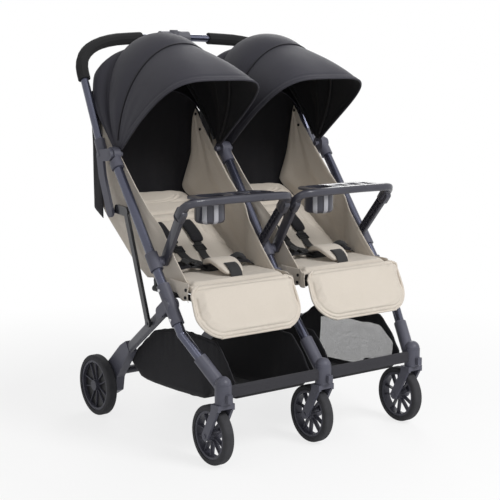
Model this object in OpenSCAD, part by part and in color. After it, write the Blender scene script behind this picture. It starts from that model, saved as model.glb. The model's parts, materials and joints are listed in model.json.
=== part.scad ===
// Side by side double stroller with a folding frame.
// X runs across, the front faces -Y and Z is up. Lengths along Y are first measured
// back from the axis of the front casters, and the whole part is then centred.

/* [Frame] */
// Gap between the side of a seat cushion and the axis of the front tube beside it
tube_gap = 28; // [26:1:34]
// Height of the top hubs, where handle and canopies turn
hub_z = 746; // [725:1:770]
// Distance of the top hubs behind the caster axis
hub_y = 442; // [430:1:455]
// Lean of the front tubes from the vertical, in degrees
leg_tilt = 37.2; // [36.4:0.1:38.2]
// Diameter of the front tubes
tube_d = 25; // [22:0.5:27]
// Height at which a front tube bends towards its caster
knee_z = 322; // [312:1:330]
// Wall of the plastic sleeves round the front tubes
sleeve_wall = 4.5; // [3:0.1:6]
// Length of a leg sleeve along its tube
sleeve_len = 112; // [95:1:120]
// Height of the middle of the leg sleeves
sleeve_z = 388; // [384:1:392]

/* [Front casters] */
// Distance of each outer caster inside its front tube
caster_in = 40; // [31:1:50]
// Diameter of the front wheels
front_wheel_d = 152; // [140:1:154]
// Width of the front tyres
front_wheel_w = 28; // [24:1:31]
// Trail of the front axles behind the swivel axis
caster_trail = 45; // [40:1:48]
// Diameter of the caster housings
housing_d = 42; // [38:1:46]
// Height of the lower face of the caster housings
housing_low = 166; // [165:1:170]
// Height of the straight part of the caster housings
housing_h = 48; // [44:1:52]
// Diameter of the swivel stems
stem_d = 12; // [10:0.5:14]
// Diameter of the front axles
front_axle_d = 10; // [8:0.5:11]
// Thickness of the fork legs
fork_t = 8; // [6:0.5:10]
// Travel of the swivel lock tabs
lock_travel = 5; // [3:0.5:5]

/* [Rear frame] */
// Distance of the rear axle behind the caster axis
rear_axle_y = 595; // [585:1:605]
// Diameter of the rear wheels
rear_wheel_d = 171; // [165:1:176]
// Width of the rear tyres
rear_wheel_w = 28; // [24:1:30]
// Distance of each outer wheel bracket inside its front tube
rear_in = 59; // [56:1:62]
// Thickness of the wheel brackets
bracket_t = 26; // [22:1:28]
// Diameter of the rear axles
rear_axle_d = 12; // [10:0.5:13]
// Height of the flat oval rear legs
rear_leg_h = 30; // [26:1:32]
// Width of the flat oval rear legs
rear_leg_w = 14; // [12:0.5:15]
// Diameter of the rear cross bar
rear_bar_d = 22; // [18:1:24]
// Diameter of the leg pivot pins
leg_pin_d = 10; // [8:0.5:12]
// Drop of the fold latches below the top hubs
latch_drop = 145; // [139:1:152]
// Thickness of the fold struts
strut_t = 8; // [6:0.5:8]
// Width of the brake pedal
pedal_w = 70; // [56:1:84]

/* [Handle] */
// Distance of each side tube of the push bar outside its front tube
handle_out = 2; // [0:0.5:4]
// Lean of the side tubes of the push bar from the vertical, in degrees
handle_tilt = 28.3; // [27.5:0.1:29]
// Lean of the side tubes of the push bar towards each other, over their straight length
handle_lean = 8; // [0:1:10]
// Diameter of the push bar
handle_d = 22; // [20:0.5:24]
// Height of the middle of the push bar
bar_z = 1053; // [1045:1:1070]
// Distance of the middle of the push bar behind the caster axis
bar_y = 690; // [685:1:700]
// Diameter of the foam grips
grip_d = 34; // [30:0.5:36]
// Gap between the two foam grips
grip_gap = 234; // [200:1:260]
// Length of the fold housing on the push bar
fold_housing_len = 96; // [80:1:110]
// Diameter of the fold button
fold_button_d = 24; // [18:1:28]
// Travel of the fold button
fold_button_travel = 3; // [2.5:0.5:3]

/* [Seats] */
// Width of a seat cushion
seat_w = 300; // [285:1:320]
// Height of the top of a seat cushion
seat_top = 447; // [444:1:452]
// Thickness of a seat cushion
seat_t = 32; // [28:1:36]
// Distance of the front rail behind the caster axis
front_rail_y = 108; // [104:1:112]
// Distance of the rear rail, the recline hinge, behind the caster axis
rear_rail_y = 292; // [288:1:296]
// Diameter of the front and rear rails
rail_d = 14; // [12:0.5:16]
// Length of a backrest
back_len = 338; // [325:1:340]
// Slope of a backrest from level, in degrees
back_slope = 32.5; // [31:0.1:33]
// Thickness of a backrest
back_t = 28; // [24:1:32]
// Length of a leg rest
rest_len = 122; // [112:1:132]
// Reach of a leg rest past each side of its seat cushion
rest_over = 8; // [0:1:10]
// Slope of a leg rest from level, in degrees
rest_slope = 58; // [54:0.5:62]
// Thickness of a leg rest
rest_t = 22; // [18:1:26]
// Thickness of the side wings and the rear screens
cloth_t = 3; // [2:0.1:3]

/* [Canopies] */
// Radius of a canopy at its back
canopy_r_back = 316; // [308:1:322]
// Radius of a canopy at its front brim
canopy_r_front = 312; // [300:1:314]
// Room between the side of a seat cushion and its canopy
canopy_room = 13; // [12:0.1:14]
// Thickness of the canopy fabric with its lining
canopy_t = 2; // [1.8:0.1:2.1]
// Angle of the front brim above the back, in degrees
brim_angle = 143; // [136:1:144]

/* [Trays] */
// Diameter of a tray's front bar
tray_bar_d = 26; // [22:1:28]
// Thickness of the tray arms
tray_arm_t = 12; // [10:0.5:13]
// Thickness of the tray deck
tray_deck_t = 6; // [4:0.5:8]
// Outer diameter of a cup holder
cup_d = 78; // [70:1:84]
// Depth of a cup holder
cup_depth = 60; // [50:1:66]
// Diameter of the tray pivot pins
tray_pin_d = 12; // [10:0.5:14]

/* [Baskets] */
// Height of the floor of the baskets
basket_low = 128; // [124:1:134]
// Height of the side walls of the baskets
basket_side = 262; // [240:1:280]
// Wall of the baskets
basket_t = 3; // [2:0.1:4]

/* [Clearances] */
// Gap between fixed pieces
fit = 0.1; // [0.05:0.01:0.2]
// Radial gap of the running pivots
run = 0.05; // [0.03:0.01:0.1]
// Gap round soft pieces
soft_gap = 0.4; // [0.3:0.05:0.6]

/* [Hidden] */
$fn = 48;

// Places across the width follow the seats
frame_x = seat_w + 2 * tube_gap;
caster_x = frame_x - caster_in;
rear_x = frame_x - rear_in;
handle_x = frame_x + handle_out;
canopy_half = seat_w / 2 + canopy_room;
frame_xs = [-frame_x, 0, frame_x];
caster_xs = [-caster_x, 0, caster_x];
rear_xs = [-rear_x, 0, rear_x];
seat_x = frame_x / 2;
tube_r = tube_d / 2;
knee_swell = 0.6;
sleeve_r = tube_r + sleeve_wall;
front_wheel_r = front_wheel_d / 2;
rear_wheel_r = rear_wheel_d / 2;
handle_r = handle_d / 2;
housing_r = housing_d / 2;
rail_r = rail_d / 2;

// A point of a front tube's axis at height z, as distance back and height
function tube_yz(z) = [hub_y - (hub_z - z) * tan(leg_tilt), z];
function tube_point(x, z) = [x, tube_yz(z)[0], z];
tube_dir = [sin(leg_tilt), cos(leg_tilt)];
tube_back = [cos(leg_tilt), -sin(leg_tilt)];
hub_yz = [hub_y, hub_z];

// Top of the tubes, below the hub pivots
hub_boss_r = 20;
tube_top_yz = hub_yz - (hub_boss_r + 10) * tube_dir;
foot_yz = [housing_r + 1, 216];
knee_yz = tube_yz(knee_z);

// Pivot of the rear legs behind the leg sleeves
leg_eye_r = rear_leg_h / 2;
leg_pivot_yz = tube_yz(sleeve_z) + (sleeve_r + leg_eye_r + 4) * tube_back;
rear_leg_end = [478, 204];
rear_axle_yz = [rear_axle_y, rear_wheel_r];
rear_bar_yz = rear_axle_yz + [-57, 46];
strut_share = 0.28;
strut_low_yz = leg_pivot_yz + strut_share * (rear_leg_end - leg_pivot_yz);
latch_lead = 63;
strut_top_yz = hub_yz - [latch_lead, latch_drop];
strut_clear = 4.5;

// Push bar line, from the lever sockets up to the bar
handle_dir = [sin(handle_tilt), cos(handle_tilt)];
handle_base_yz = hub_yz + [46, -6];
function handle_yz(z) = [handle_base_yz[0] + (z - handle_base_yz[1]) * tan(handle_tilt), z];
bar_drop = 22;
bend_start_z = bar_z - 98;
bend_end_x = handle_x - 158;
corner_yz = handle_yz(bar_z - bar_drop);
function handle_side_x(z) =
  handle_x - handle_lean * (z - handle_base_yz[1]) / (bend_start_z - handle_base_yz[1]);
function handle_point(side, z) = at(side * handle_side_x(z), handle_yz(z));
bar_bow = bar_y - corner_yz[0];
lever_end_yz = strut_top_yz + [62, -6];
lever_in = frame_x + 6.5;
lever_t = 8;
hub_pin_r = 8;
canopy_pin_r = 7;

// Seat heights and hinges
seat_low = seat_top - seat_t;
side_rail_r = 8;
side_rail_z = seat_low - 0.3 - side_rail_r;
side_rail_off = seat_w / 2 - side_rail_r;
rear_rail_yz = [rear_rail_y, side_rail_z + 21];
front_rail_yz = [front_rail_y, side_rail_z + 19];
hinge_gap = 0.5;
front_lug_back = 16;
back_w = seat_w - 8;
wing_in = seat_w / 2 + 0.5;
screen_y = rear_rail_y + (back_len + rail_r) * cos(back_slope) + 18;
wing_back_y = screen_y - 75;

// Canopy angles, measured from level at the back
canopy_low_angle = 8;
canopy_full_angle = 60;
canopy_back_angle = 97;
canopy_mid_angle = 97.6;
canopy_visor_angle = 117.6;
canopy_power = 3;
canopy_step = 3;
bow_ring_r = 15;
bow_ring_t = 2;

// Tray pivots and shape
tray_z = 486;
tray_pivot_yz = tube_yz(tray_z);
tray_joint_yz = tray_pivot_yz + [-95, 126];
tray_bar_yz = tray_pivot_yz + [-130, 158];
tray_arm_off = seat_w / 2 - 4;
tray_half = tray_arm_off + tray_arm_t / 2;
cup_off = -57;
cup_wall = 3;
cup_gap = 1;
cup_lead = tray_bar_d / 2 + cup_gap + cup_d / 2 - cup_wall;
cup_y = tray_bar_yz[0] + cup_lead;
deck_half = tray_arm_off - 18;
deck_depth = cup_lead + cup_d / 2 + cup_gap;
slot_w = 24;
slot_len = 40;
slot_pitch = 38;

// Front wheels
front_axle_z = front_wheel_r;
fork_in = front_wheel_w / 2 + 3;
fork_crown_low = front_wheel_d + 1.5;
fork_crown_high = housing_low - 0.8;
lock_y = -housing_r - 0.4;
lock_t = 9.6;

// The part is centred between its front and rear reach
fold_housing_r = 18;
fold_housing_wall = 7;
front_reach = min(caster_trail - front_wheel_r, lock_y - lock_t);
rear_reach = bar_y + max(handle_r + fold_housing_wall, fold_button_d / 2 + 6, grip_d / 2 - 4);
y_mid = (front_reach + rear_reach) / 2;

// Colours
metal = [0.33, 0.35, 0.41];
plastic = [0.20, 0.20, 0.23];
black = [0.10, 0.10, 0.11];
beige = [0.82, 0.77, 0.69];
charcoal = [0.29, 0.28, 0.32];
rubber = [0.17, 0.17, 0.18];

// Helpers

module centred() translate([0, -y_mid, 0]) children();

// Extrudes a side outline, drawn as distance back and height, across X
module across(x1, x2) translate([x1, 0, 0]) rotate([90, 0, 90]) linear_extrude(x2 - x1) children();

// Round rod across X at a side position
module cross_rod(x1, x2, yz, r) translate([x1, yz[0], yz[1]]) rotate([0, 90,
  0]) cylinder(h = x2 - x1, r = r);

// Moves the +Z axis onto the line from p to q
module along(p, q) {
  v = q - p;
  translate(p) rotate([0, acos(v[2] / norm(v)), atan2(v[1], v[0])]) children();
}

module rod(p, q, r) along(p, q) cylinder(h = norm(q - p), r = r);

// Flat outline with round ends between two side positions
module bar2d(p, q, r) {
  translate(p) circle(r);
  translate(q) circle(r);
  translate(p) rotate(atan2(q[1] - p[1], q[0] - p[0])) translate([0, -r]) square([norm(q - p), 2 * r]);
}

// The same outline as one polygon, for links that join others
link_steps = 18;
module link2d(p, q, r) {
  turn = atan2(q[1] - p[1], q[0] - p[0]);
  polygon(concat(
    [for (k = [0 : link_steps]) p + r * [cos(turn + 90 + 180 * k / link_steps),
      sin(turn + 90 + 180 * k / link_steps)]],
    [for (k = [0 : link_steps]) q + r * [cos(turn - 90 + 180 * k / link_steps),
      sin(turn - 90 + 180 * k / link_steps)]]
  ));
}

// Flat oval tube from p to q, its height in the upright plane
module oval_beam(p, q, h, w) {
  along(p, q) linear_extrude(norm(q - p)) {
    square([h - w, w], center = true);
    for (s = [-1, 1]) translate([s * (h - w) / 2, 0]) circle(w / 2);
  }
}

function at(x, yz) = [x, yz[0], yz[1]];
function unit(v) = v / norm(v);

// Rings of a tube swept along a path that lies near the plane with normal n
function path_dir(path, i) = unit(path[min(i + 1, len(path) - 1)] - path[max(i - 1, 0)]);
function ring(p, d, n, r, sides) = [
  for (k = [0 : sides - 1])
    let (u = unit(cross(d, n)), v = cross(d, u))
    p + r * cos(360 * k / sides) * u + r * sin(360 * k / sides) * v
];
function rings(path, n, r, sides) = [
  for (i = [0 : len(path) - 1]) each ring(path[i], path_dir(path, i), n, r, sides)
];

// Wall of triangles between two neighbouring rings of points
function ring_wall(first, second, sides) = [
  for (k = [0 : sides - 1])
    let (a = first + k, b = first + (k + 1) % sides, c = second + k, e = second + (k + 1) % sides)
    each [[a, b, e], [a, e, c]]
];

// Solid tube along a path
module swept_rod(path, n, r, sides = 12) {
  last = (len(path) - 1) * sides;
  faces = concat(
    [for (i = [0 : len(path) - 2]) each ring_wall(i * sides, (i + 1) * sides, sides)],
    [for (k = [1 : sides - 2]) [0, k + 1, k]],
    [for (k = [1 : sides - 2]) [last, last + k, last + k + 1]]
  );
  polyhedron(rings(path, n, r, sides), faces);
}

// Hollow sleeve along a path
module swept_sleeve(path, n, r_out, r_in, sides = 12) {
  count = len(path) * sides;
  last = (len(path) - 1) * sides;
  faces = concat(
    [for (i = [0 : len(path) - 2]) each ring_wall(i * sides, (i + 1) * sides, sides)],
    [for (i = [0 : len(path) - 2]) each ring_wall(count + (i + 1) * sides, count + i * sides, sides)],
    ring_wall(count, 0, sides),
    ring_wall(last, count + last, sides)
  );
  polyhedron(concat(rings(path, n, r_out, sides), rings(path, n, r_in, sides)), faces);
}

// Closed sheet from a grid of outer points and a grid of inner points
module sheet_solid(outer, inner) {
  rows = len(outer);
  cols = len(outer[0]);
  count = rows * cols;
  function id(side, i, j) = side * count + i * cols + j;
  quads = concat(
    [for (i = [0 : rows - 2], j = [0 : cols - 2])
      [id(0, i, j), id(0, i + 1, j), id(0, i + 1, j + 1), id(0, i, j + 1)]],
    [for (i = [0 : rows - 2], j = [0 : cols - 2])
      [id(1, i, j), id(1, i, j + 1), id(1, i + 1, j + 1), id(1, i + 1, j)]],
    [for (i = [0 : rows - 2]) each [
      [id(0, i, 0), id(1, i, 0), id(1, i + 1, 0), id(0, i + 1, 0)],
      [id(0, i, cols - 1), id(0, i + 1, cols - 1), id(1, i + 1, cols - 1), id(1, i, cols - 1)]]],
    [for (j = [0 : cols - 2]) each [
      [id(0, 0, j), id(0, 0, j + 1), id(1, 0, j + 1), id(1, 0, j)],
      [id(0, rows - 1, j), id(1, rows - 1, j), id(1, rows - 1, j + 1), id(0, rows - 1, j + 1)]]]
  );
  triangles = [for (q = quads) each [[q[0], q[1], q[2]], [q[0], q[2], q[3]]]];
  polyhedron(concat([for (row = outer) each row], [for (row = inner) each row]), triangles);
}

// Half width of a pad with round corners r1 at its start and r2 at its end, drawn in between
function pad_half(w, len, y, r1, r2, draw) =
  (y < r1 ? w / 2 - r1 + sqrt(r1 * r1 - pow(r1 - y, 2))
    : y > len - r2 ? w / 2 - r2 + sqrt(max(0, r2 * r2 - pow(r2 - (len - y), 2)))
    : w / 2) - draw * pow(sin(180 * y / len), 2);
function pad_swell(u, v) = (1 - pow(abs(u), 3)) * (1 - pow(abs(2 * v - 1), 3.5));
function pad_groove(y, channels, depth, width) =
  depth * max([0, for (c = channels) exp(-pow((y - c) / width, 2))]);

// Padded cushion: crowned faces, thin edges, drawn-in sides and sewn channels across it.
// It starts at Y = 0 and its thickness is centred on Z = 0.
module pad(w, len, t, r1, r2, channels, low_swell = 1, cols = 12, rows = 16) {
  edge = 0.42;
  draw = 2.5;
  groove = 3.5;
  function grid(sign, swell) = [
    for (i = [0 : rows]) [
      for (j = [0 : cols])
        let (v = i / rows, y = v * len, u = 2 * j / cols - 1)
        let (rise = edge + (1 - edge) * pad_swell(u, v))
        let (cut = swell == 0 ? 0 : pad_groove(y, channels, groove, 7) * (1 - pow(abs(u), 6)))
        [u * pad_half(w, len, y, r1, r2, draw), y,
          sign * (swell == 0 ? t / 2 : max(t / 2 * rise - cut, t * 0.12))]
    ]
  ];
  sheet_solid([for (row = grid(1, 1)) [for (j = [cols : -1 : 0]) row[j]]],
    [for (row = grid(-1, low_swell)) [for (j = [cols : -1 : 0]) row[j]]]);
}

// Frame

module front_tube(i, grow = 0) {
  top = at(frame_xs[i], tube_top_yz);
  knee = at(frame_xs[i], knee_yz);
  foot = at(caster_xs[i], foot_yz);
  rod(top, knee, tube_r + grow);
  translate(knee) sphere(tube_r + knee_swell + grow);
  rod(knee, foot, tube_r + grow);
}

module front_tubes() {
  color(metal) centred() for (i = [0 : 2]) front_tube(i);
}

// Sleeve along a front tube between two heights
module tube_sleeve(i, z1, z2, grow = 0) {
  rod(tube_point(frame_xs[i], z1), tube_point(frame_xs[i], z2), sleeve_r + grow);
}
sleeve_rise = sleeve_len / 2 * cos(leg_tilt);

leg_ear_in = rear_leg_w / 2 + 3.5;
leg_ear_t = 6;
module leg_sleeves() {
  color(plastic) centred() for (i = [0 : 2]) {
    difference() {
      union() {
        tube_sleeve(i, sleeve_z - sleeve_rise, sleeve_z + sleeve_rise);
        for (s = [-1, 1])
          across(frame_xs[i] + s * (leg_ear_in + leg_ear_t / 2) - leg_ear_t / 2,
            frame_xs[i] + s * (leg_ear_in + leg_ear_t / 2) + leg_ear_t / 2)
            bar2d(tube_yz(sleeve_z), leg_pivot_yz, leg_eye_r);
        cross_rod(frame_xs[i] - leg_ear_in, frame_xs[i] + leg_ear_in, leg_pivot_yz, leg_pin_d / 2);
      }
      front_tube(i, fit);
    }
  }
}

hub_in = 14;
hub_sleeve_len = 44;
module frame_hubs() {
  color(plastic) centred() for (i = [0 : 2]) {
    side = i - 1;
    hub_low = side < 0 ? -6 : -hub_in;
    hub_high = side > 0 ? 6 : hub_in;
    sleeve_end = hub_yz - hub_sleeve_len * tube_dir;
    difference() {
      union() {
        rod(at(frame_xs[i], sleeve_end), at(frame_xs[i], hub_yz), sleeve_r);
        cross_rod(frame_xs[i] + hub_low, frame_xs[i] + hub_high, hub_yz, hub_boss_r);
      }
      front_tube(i, fit);
      if (side != 0)
        cross_rod(frame_xs[i] + (side > 0 ? 6 : -30), frame_xs[i] + (side > 0 ? 30 : -6), hub_yz,
          hub_boss_r + 4);
      for (s = [-1, 1])
        if (s != side)
          cross_rod(frame_xs[i] + (s > 0 ? hub_in : -30), frame_xs[i] + (s > 0 ? 30 : -hub_in), hub_yz,
            hub_boss_r + 4);
    }
    // Canopy pins towards the seats, and the handle pin on the outer side
    for (s = [-1, 1])
      if (s != side)
        cross_rod(frame_xs[i] + (s > 0 ? hub_in : -canopy_pin_end),
          frame_xs[i] + (s > 0 ? canopy_pin_end : -hub_in),
          hub_yz, canopy_pin_r);
      else
        cross_rod(frame_xs[i] + (s > 0 ? 6 : -15), frame_xs[i] + (s > 0 ? 15 : -6), hub_yz, hub_pin_r);
  }
}
canopy_pin_end = frame_x / 2 - canopy_half + 3 * canopy_step + 3;

module caster_housings() {
  color(plastic) centred() for (i = [0 : 2]) {
    knee = at(frame_xs[i], knee_yz);
    foot = at(caster_xs[i], foot_yz);
    difference() {
      union() {
        translate([caster_xs[i], 0, housing_low]) cylinder(h = housing_h, r = housing_r);
        translate([caster_xs[i], 0, housing_low + housing_h]) sphere(housing_r - 1);
        rod(knee + 0.5 * (foot - knee), knee + 1.15 * (foot - knee), sleeve_r);
      }
      front_tube(i, fit);
      translate([caster_xs[i], 0, housing_low - 1]) cylinder(h = housing_h - 4, r = stem_d / 2 + run);
    }
  }
}

front_bar_h = 30;
front_bar_t = 14;
front_bar_z = housing_low + 26;
module front_bars() {
  color(metal) centred() for (s = [0, 1]) difference() {
    across(caster_xs[s], caster_xs[s + 1])
      bar2d([0, front_bar_z - (front_bar_h - front_bar_t) / 2], [0,
        front_bar_z + (front_bar_h - front_bar_t) / 2],
        front_bar_t / 2);
    for (i = [s, s + 1])
      translate([caster_xs[i], 0, housing_low - 1]) cylinder(h = housing_h + 2, r = housing_r + fit);
  }
}

// Base frame of one seat: side rails, front and rear rails, and lugs to the front tubes
module seat_frame(side) {
  mid = side * seat_x;
  tubes = side < 0 ? [0, 1] : [1, 2];
  lug_yz = tube_yz(side_rail_z);
  difference() {
    union() {
      for (s = [-1, 1]) {
        rail_x = mid + s * side_rail_off;
        rod([rail_x, front_rail_y + front_lug_back - 9, side_rail_z], [rail_x, rear_rail_y + 9,
          side_rail_z], side_rail_r);
        across(rail_x - 4, rail_x + 4) {
          bar2d([rear_rail_y, side_rail_z], rear_rail_yz, rail_r - 1.2);
          bar2d([front_rail_y + front_lug_back, side_rail_z], front_rail_yz, rail_r - 2);
        }
        cross_rod(min(rail_x, frame_xs[tubes[(s + 1) / 2]]), max(rail_x,
          frame_xs[tubes[(s + 1) / 2]]), lug_yz, side_rail_r - 1.5);
      }
      for (end = [front_rail_yz, rear_rail_yz])
        cross_rod(mid - side_rail_off - 4, mid + side_rail_off + 4, end, rail_r);
    }
    for (i = tubes) tube_sleeve(i, sleeve_z - 2 * sleeve_rise, sleeve_z + 2 * sleeve_rise, fit);
  }
}
module seat_frames() {
  color(black) centred() for (side = [-1, 1]) seat_frame(side);
}

tray_boss_r = 13;
tray_sleeve_rise = 24 * cos(leg_tilt);
tray_boss_end = frame_x / 2 - tray_arm_off - tray_arm_t / 2 - 0.4;
module tray_brackets() {
  color(plastic) centred() for (i = [0 : 2]) {
    sides = i == 0 ? [1] : i == 1 ? [-1, 1] : [-1];
    difference() {
      union() {
        tube_sleeve(i, tray_z - tray_sleeve_rise, tray_z + tray_sleeve_rise);
        for (s = sides) {
          cross_rod(frame_xs[i] + min(0, s * tray_boss_end), frame_xs[i] + max(0, s * tray_boss_end),
            tray_pivot_yz, tray_boss_r);
          pin_end = tray_boss_end + tray_arm_t + 0.4;
          cross_rod(frame_xs[i] + min(0, s * pin_end), frame_xs[i] + max(0, s * pin_end),
            tray_pivot_yz, tray_pin_d / 2);
        }
      }
      front_tube(i, fit);
    }
  }
}

rivet_r = 4.5;
rivet_h = 1.6;
module frame_rivets() {
  heights = [sleeve_z + 0.75 * sleeve_rise, sleeve_z - 0.75 * sleeve_rise];
  color("silver") centred() for (i = [0, 2], z = heights) {
    side = i - 1;
    start = frame_xs[i] + side * (sleeve_r + fit / 2);
    cross_rod(min(start, start + side * rivet_h), max(start, start + side * rivet_h), tube_yz(z), rivet_r);
  }
}

// Baskets, one on each side of the middle rear leg

basket_in = rear_leg_w / 2 + 27;
basket_out = rear_x - bracket_t / 2 - 4;
basket_front = front_bar_t / 2 + soft_gap;
basket_step_y = caster_trail + front_wheel_r + 10;
basket_step_z = front_wheel_d + 7;
basket_back = rear_leg_end[0] - 40;
basket_fall = 178;
basket_rise = 112;
module basket_side2d() {
  polygon([
    [basket_front, front_bar_z + 14], [basket_front, front_bar_z - 16], [basket_front + 13,
      basket_step_z + 2],
    [basket_step_y, basket_step_z], [basket_step_y + 24, basket_low + 2], [basket_back - 14, basket_low],
    [basket_back, basket_low + 24], [basket_back, basket_low + 64],
    [basket_back - 0.4 * basket_fall, basket_side - 37], [basket_back - basket_fall, basket_side],
    [basket_front + basket_rise, basket_side - 12]
  ]);
}
module basket_hollow2d() {
  t = basket_t;
  polygon([
    [basket_front + t, basket_side + 40], [basket_front + t, front_bar_z - 15],
    [basket_front + 13 + t, basket_step_z + 2 + t], [basket_step_y + t, basket_step_z + t],
    [basket_step_y + 24 + t, basket_low + 2 + t], [basket_back - 14 - t, basket_low + t],
    [basket_back - t, basket_low + 25], [basket_back - t, basket_side + 40]
  ]);
}
module baskets() {
  color(black) centred() for (s = [-1, 1]) mirror([s < 0 ? 1 : 0, 0, 0]) difference() {
    across(basket_in, basket_out) basket_side2d();
    across(basket_in + basket_t, basket_out - basket_t) basket_hollow2d();
  }
}

// Seats

seat_start = front_rail_y + rail_r + 3;
seat_len = rear_rail_y - rail_r - 9 - seat_start;
module seat_pad(side) {
  color(beige) centred() translate([side * seat_x, seat_start, seat_low + seat_t / 2])
    pad(seat_w, seat_len, seat_t, 30, 10, [0.36 * seat_len], low_swell = 0);
}
module seat_pad_left() seat_pad(-1);
module seat_pad_right() seat_pad(1);

module seat_wings() {
  wing_lead = sleeve_r + 7;
  low = tube_yz(seat_low + 8) + [wing_lead, 0];
  apex = tube_yz(hub_z + 84) + [wing_lead, 0];
  back_low = rear_rail_yz + (wing_back_y - rear_rail_y) / cos(back_slope) * [cos(back_slope),
    sin(back_slope)]
    + [0, -back_t / 2 - 2];
  color(beige) centred() for (side = [-1, 1], s = [-1, 1])
    across(side * seat_x + (s > 0 ? wing_in : -wing_in - cloth_t),
      side * seat_x + (s > 0 ? wing_in + cloth_t : -wing_in))
      polygon([low, apex, [wing_back_y, hub_z + 68], [wing_back_y, back_low[1]],
        [rear_rail_y, rear_rail_yz[1] - back_t / 2 - 2], [rear_rail_y - 40, seat_low + 2]]);
}

// Black screen behind each seat, from the canopy down to the top of the backrest
screen_inset = 5;
function canopy_radius(angle) =
  canopy_r_back + (canopy_r_front - canopy_r_back) * (angle - canopy_full_angle) / (brim_angle - canopy_full_angle);
function canopy_half_at(r, radius, half) = half * pow(max(0, 1 - pow(min(1, r / radius),
  canopy_power)), 1 / canopy_power);
function screen_half(z) =
  let (r = norm([screen_y - hub_y, max(0, z - hub_z)]) + 2 * screen_inset)
  min(wing_in - 1, canopy_half_at(r, canopy_r_back, canopy_half) - screen_inset);
function canopy_low_z(y) = hub_z + (y - hub_y) * tan(canopy_low_angle) - 2;
screen_low = rear_rail_yz[1] + back_len * sin(back_slope) - 6;
screen_high = hub_z + sqrt(pow(canopy_r_back - screen_inset, 2) - pow(screen_y - hub_y, 2)) - 24;
module rear_screens() {
  steps = 16;
  waist_z = canopy_low_z(screen_y);
  waist_half = wing_in + cloth_t;
  heights = [for (i = [0 : steps]) waist_z + (screen_high - waist_z) * sqrt(i / steps)];
  outline = concat([[waist_half, screen_low], [waist_half, waist_z]],
    [for (z = heights) [screen_half(z), z]],
    [for (i = [steps : -1 : 0]) [-screen_half(heights[i]), heights[i]]],
    [[-waist_half, waist_z], [-waist_half, screen_low]]);
  color(black) centred() for (side = [-1, 1]) {
    translate([side * seat_x, screen_y, 0]) rotate([90, 0, 0]) linear_extrude(cloth_t) polygon(outline);
    for (s = [-1, 1])
      across(side * seat_x + (s > 0 ? wing_in : -wing_in - cloth_t),
        side * seat_x + (s > 0 ? wing_in + cloth_t : -wing_in))
        polygon([[wing_back_y + 0.5, screen_low - 40], [screen_y, screen_low],
          [screen_y, canopy_low_z(screen_y)], [wing_back_y + 0.5, canopy_low_z(wing_back_y)]]);
  }
}

module backrest(side) {
  color(beige) centred() translate(at(side * seat_x, rear_rail_yz)) rotate([back_slope, 0, 0])
    translate([0, rail_r + hinge_gap, 0])
      pad(back_w, back_len, back_t, 12, 34, [0.2 * back_len, 0.4 * back_len, 0.6 * back_len],
        low_swell = 0.6);
}
module backrest_left() backrest(-1);
module backrest_right() backrest(1);

rest_out = 6;
module leg_rest(side) {
  color(beige) centred() translate(at(side * (seat_x + rest_out),
    front_rail_yz)) rotate([rest_slope - 180, 0, 0])
    rotate([0, 180, 0]) translate([0, rail_r + hinge_gap, 0])
      pad(seat_w + 2 * rest_over, rest_len, rest_t, 8, 62, [0.12 * rest_len], low_swell = 0.5);
}
module leg_rest_left() leg_rest(-1);
module leg_rest_right() leg_rest(1);

// Harness

strap_t = 3;
strap_w = 25;
strap_off = 55;
strap_start = 40;
strap_len = 0.65 * back_len;
strap_pad_w = 42;
strap_pad_t = 7;
buckle_size = [46, 34, 14];
buckle_yz = [rear_rail_y - 46, seat_top + soft_gap];
buckle_button_r = 9;
buckle_travel = 3;
module waist_straps() {
  color(black) centred() for (side = [-1, 1], s = [-1, 1])
    translate([side * seat_x + s * (buckle_size[0] / 2 + 42 + fit), buckle_yz[0],
      buckle_yz[1] + strap_t / 2 + 2])
      cube([84, 26, strap_t], center = true);
}
module crotch_pads() {
  color(beige) centred() for (side = [-1, 1])
    translate([side * seat_x, buckle_yz[0] - buckle_size[1] / 2 - 30 - fit, buckle_yz[1] + 6])
      cube([62, 60, 12], center = true);
}
module buckles() {
  color(black) centred() for (side = [-1, 1]) difference() {
    translate([side * seat_x - buckle_size[0] / 2, buckle_yz[0] - buckle_size[1] / 2,
      buckle_yz[1]]) cube(buckle_size);
    translate([side * seat_x, buckle_yz[0], buckle_yz[1] + 5]) cylinder(h = 20, r = buckle_button_r + run);
  }
}
module buckle_button(side) {
  color("dimgray") centred()
    translate([side * seat_x, buckle_yz[0], buckle_yz[1] + 5 + buckle_travel + 0.3])
      cylinder(h = buckle_size[2] - 5, r = buckle_button_r);
}
module buckle_button_left() buckle_button(-1);
module buckle_button_right() buckle_button(1);

module shoulder_straps(side) {
  color(black) centred() translate(at(side * seat_x, rear_rail_yz)) rotate([back_slope, 0, 0])
    for (s = [-1, 1]) translate([s * strap_off, 0, back_t / 2 + soft_gap]) {
      translate([-strap_w / 2, strap_start, 0]) cube([strap_w, strap_len, strap_t]);
      translate([-strap_pad_w / 2, strap_start + 50, strap_t - 0.5]) cube([strap_pad_w,
        strap_len / 2, strap_pad_t]);
    }
}
module shoulder_straps_left() shoulder_straps(-1);
module shoulder_straps_right() shoulder_straps(1);

// Canopies: arched sheets round the hub axis, one inside the other from back to front

arch_steps = 24;
arch_low_r = bow_ring_r - 1;
function arch_turn(k) = 90 * sin(90 * k / arch_steps);
function arch_r(k, radius) = max(arch_low_r, radius * pow(sin(arch_turn(k)), 2 / canopy_power));
function arch_x(k, radius, half) = canopy_half_at(arch_r(k, radius), radius, half);
function canopy_point(x, r, angle) = [x, hub_y + r * cos(angle), hub_z + r * sin(angle)];
function low_angle(r, first) = first >= 90 ? first : acos(min(cos(canopy_low_angle),
  (screen_y - hub_y) / r));

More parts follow.
